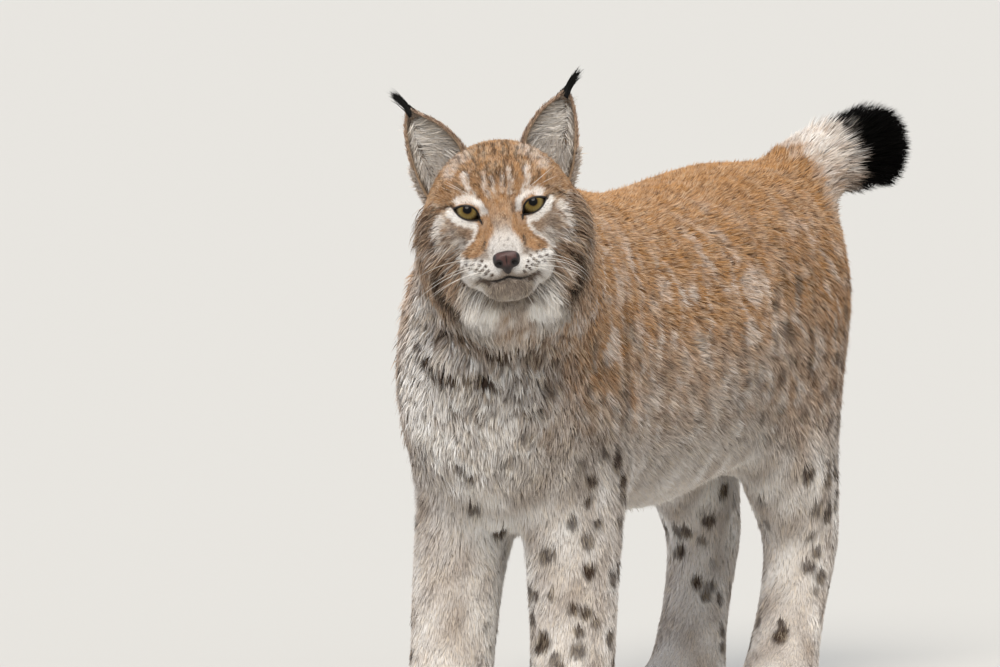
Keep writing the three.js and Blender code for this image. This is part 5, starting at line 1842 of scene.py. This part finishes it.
# %% [markdown]
# ## Nose
# The nose pad is bare leather with two nostrils and a groove below them. It could be sculpted from
# a sphere, but then it would have to be fitted to the muzzle by eye: here it is a field in the
# head's frame, like the face around it, and is walked out finely.
# %% Form of the nose
nose_form = carve(
    1.5,
    melt(
        4,
        ellipsoid(0, -43, -49.5, 12.5, 8.5, 6),
        *pair(lambda s: ellipsoid(s * 7, -42, -53.5, 6.4, 9, 7)),
        ellipsoid(0, -42, -60, 4.5, 7.5, 7),
    ),
    melt(1, *pair(lambda s: ellipsoid(s * 7.6, -51, -56, 2.5, 5, 2))),
)
NOSE_TIP = np.array([0.0, -44.0, -53.0])
aims, nose_faces = sphere_points(5, (0, -0.4, 0))
nose = NOSE_TIP + aims * walk_out(nose_form, NOSE_TIP, aims, 0.5, 30)[:, None]
groove = np.exp(-(nose[:, 0] / 0.7) ** 2) * sstep(-47, -50, nose[:, 2]) * (nose[:, 1] < -46)
nose -= aims * (0.8 * groove)[:, None]
print("nose is", np.ptp(nose, axis=0).round().tolist(), "mm wide, deep and tall")

# %% [markdown]
# Nose leather is pebbled, so cells press its relief. It is reddish brown in the middle and dark at
# its edges and towards its bottom, and painted shade darkens the nostrils and the groove below
# them, which a mask on its points says.
# %% Leather of the nose
leather, tree, shader = material("nose_leather", Roughness=0.42, Specular_IOR_Level=0.45)
place = add_node(tree, "ShaderNodeTexCoord")
pebbles = add_node(tree, "ShaderNodeTexVoronoi")
pebbles.inputs["Scale"].default_value = 1100
tree.links.new(place.outputs["Object"], pebbles.inputs["Vector"])
press = add_node(tree, "ShaderNodeBump", invert=True)
press.inputs["Strength"].default_value = 0.5
press.inputs["Distance"].default_value = 0.0003
tree.links.new(pebbles.outputs["Distance"], press.inputs["Height"])
tree.links.new(press.outputs["Normal"], shader.inputs["Normal"])
pebble = mapped(tree, pebbles.outputs["Distance"], 0.0, 0.8, 0.0, 0.6)
pink = mixed(tree, pebble, rgb("573631"), rgb("311d19"))
dusky = mixed(tree, attribute(tree, "dusk").outputs["Fac"], pink, rgb("140d0b"))
tree.links.new(dusky, shader.inputs["Base Color"])
pad = mesh_piece("nose_pad", from_head(nose), nose_faces, leather, ("nose",))
nx, nz = np.abs(nose[:, 0]), nose[:, 2]
# the edges are the leather's own dark and the bottom is darker; the dark in the nostrils and in the
# groove is painted shade
dusk = np.maximum.reduce([
    sstep(8.6, 11.6, nx), sstep(5.8, 3.2, np.hypot(nx - 8.2, nz + 56)), 0.9 * sstep(-55, -61, nz),
    0.8 * sstep(-46.5, -44, nz), 0.8 * sstep(0.9, 0.3, nx) * sstep(-47, -50, nz),
])
layer = pad.data.attributes.new("dusk", "FLOAT", "POINT")
layer.data.foreach_set("value", dusk.astype(np.float32))
print("dusky share of the nose:", round(float(dusk.mean()), 2))

# %% [markdown]
# ## Whiskers
# Stiff white hairs grow from the rows of dark spots on the muzzle and a few from the brows. Flat
# blades would vanish when seen from their edges, and these stand alone, so they are round, taper
# to nothing and are swept like the rims.
# %% Whiskers
whisker_finish, tree, shader = material("whisker", Roughness=0.35)
place = add_node(tree, "ShaderNodeTexCoord")
shade = add_node(tree, "ShaderNodeTexNoise")
shade.inputs["Scale"].default_value = 60
tree.links.new(place.outputs["Object"], shade.inputs["Vector"])
ivory = mixed(tree, shade.outputs["Fac"], rgb("f6f2ec"), rgb("ddd5ca"))
tree.links.new(ivory, shader.inputs["Base Color"])
STARTS = [(x, z, 56 + 0.8 * (x - 15), 0.1) for x, z, _ in WHISKER_SPOTS[1::3]]
STARTS += [(30, 17, 24, 1.0), (34, 19, 28, 0.9), (39, 18, 22, 0.8)]
FAR_LEFT = 156  # no whisker goes further out, so that the model keeps its width
whisker_points, whisker_faces = [], []
for side in (1, -1):
    for x, z, length, rise in STARTS:
        y = front_of_head(np.array([x]), np.array([z]))[0] + 1
        start = np.array([x, y, z])
        aim = unit(np.array([0.9, 0.1, rise * 0.8 - 0.12]) + draw.normal(0, 0.09, 3))
        length *= draw.uniform(0.8, 1.15)
        t = np.linspace(0, 1, 9)[:, None]
        sag = np.array([0.0, 0.30, -0.30 if rise < 0.5 else -0.05]) * length
        path = from_head((start + aim * length * t + sag * t ** 2) * [side, 1, 1])
        path[:, 0] -= max(path[-1, 0] - FAR_LEFT, 0) * t[:, 0] ** 2
        points, faces = swept(path, 0.2 * (1 - t[:, 0]) ** 0.7 + 0.05, sides=5)
        base = sum(len(p) for p in whisker_points)
        whisker_points.append(points)
        whisker_faces += [tuple(i + base for i in f) for f in faces]
mesh_piece("whiskers", np.vstack(whisker_points), whisker_faces, whisker_finish)
print("whiskers:", len(STARTS) * 2)
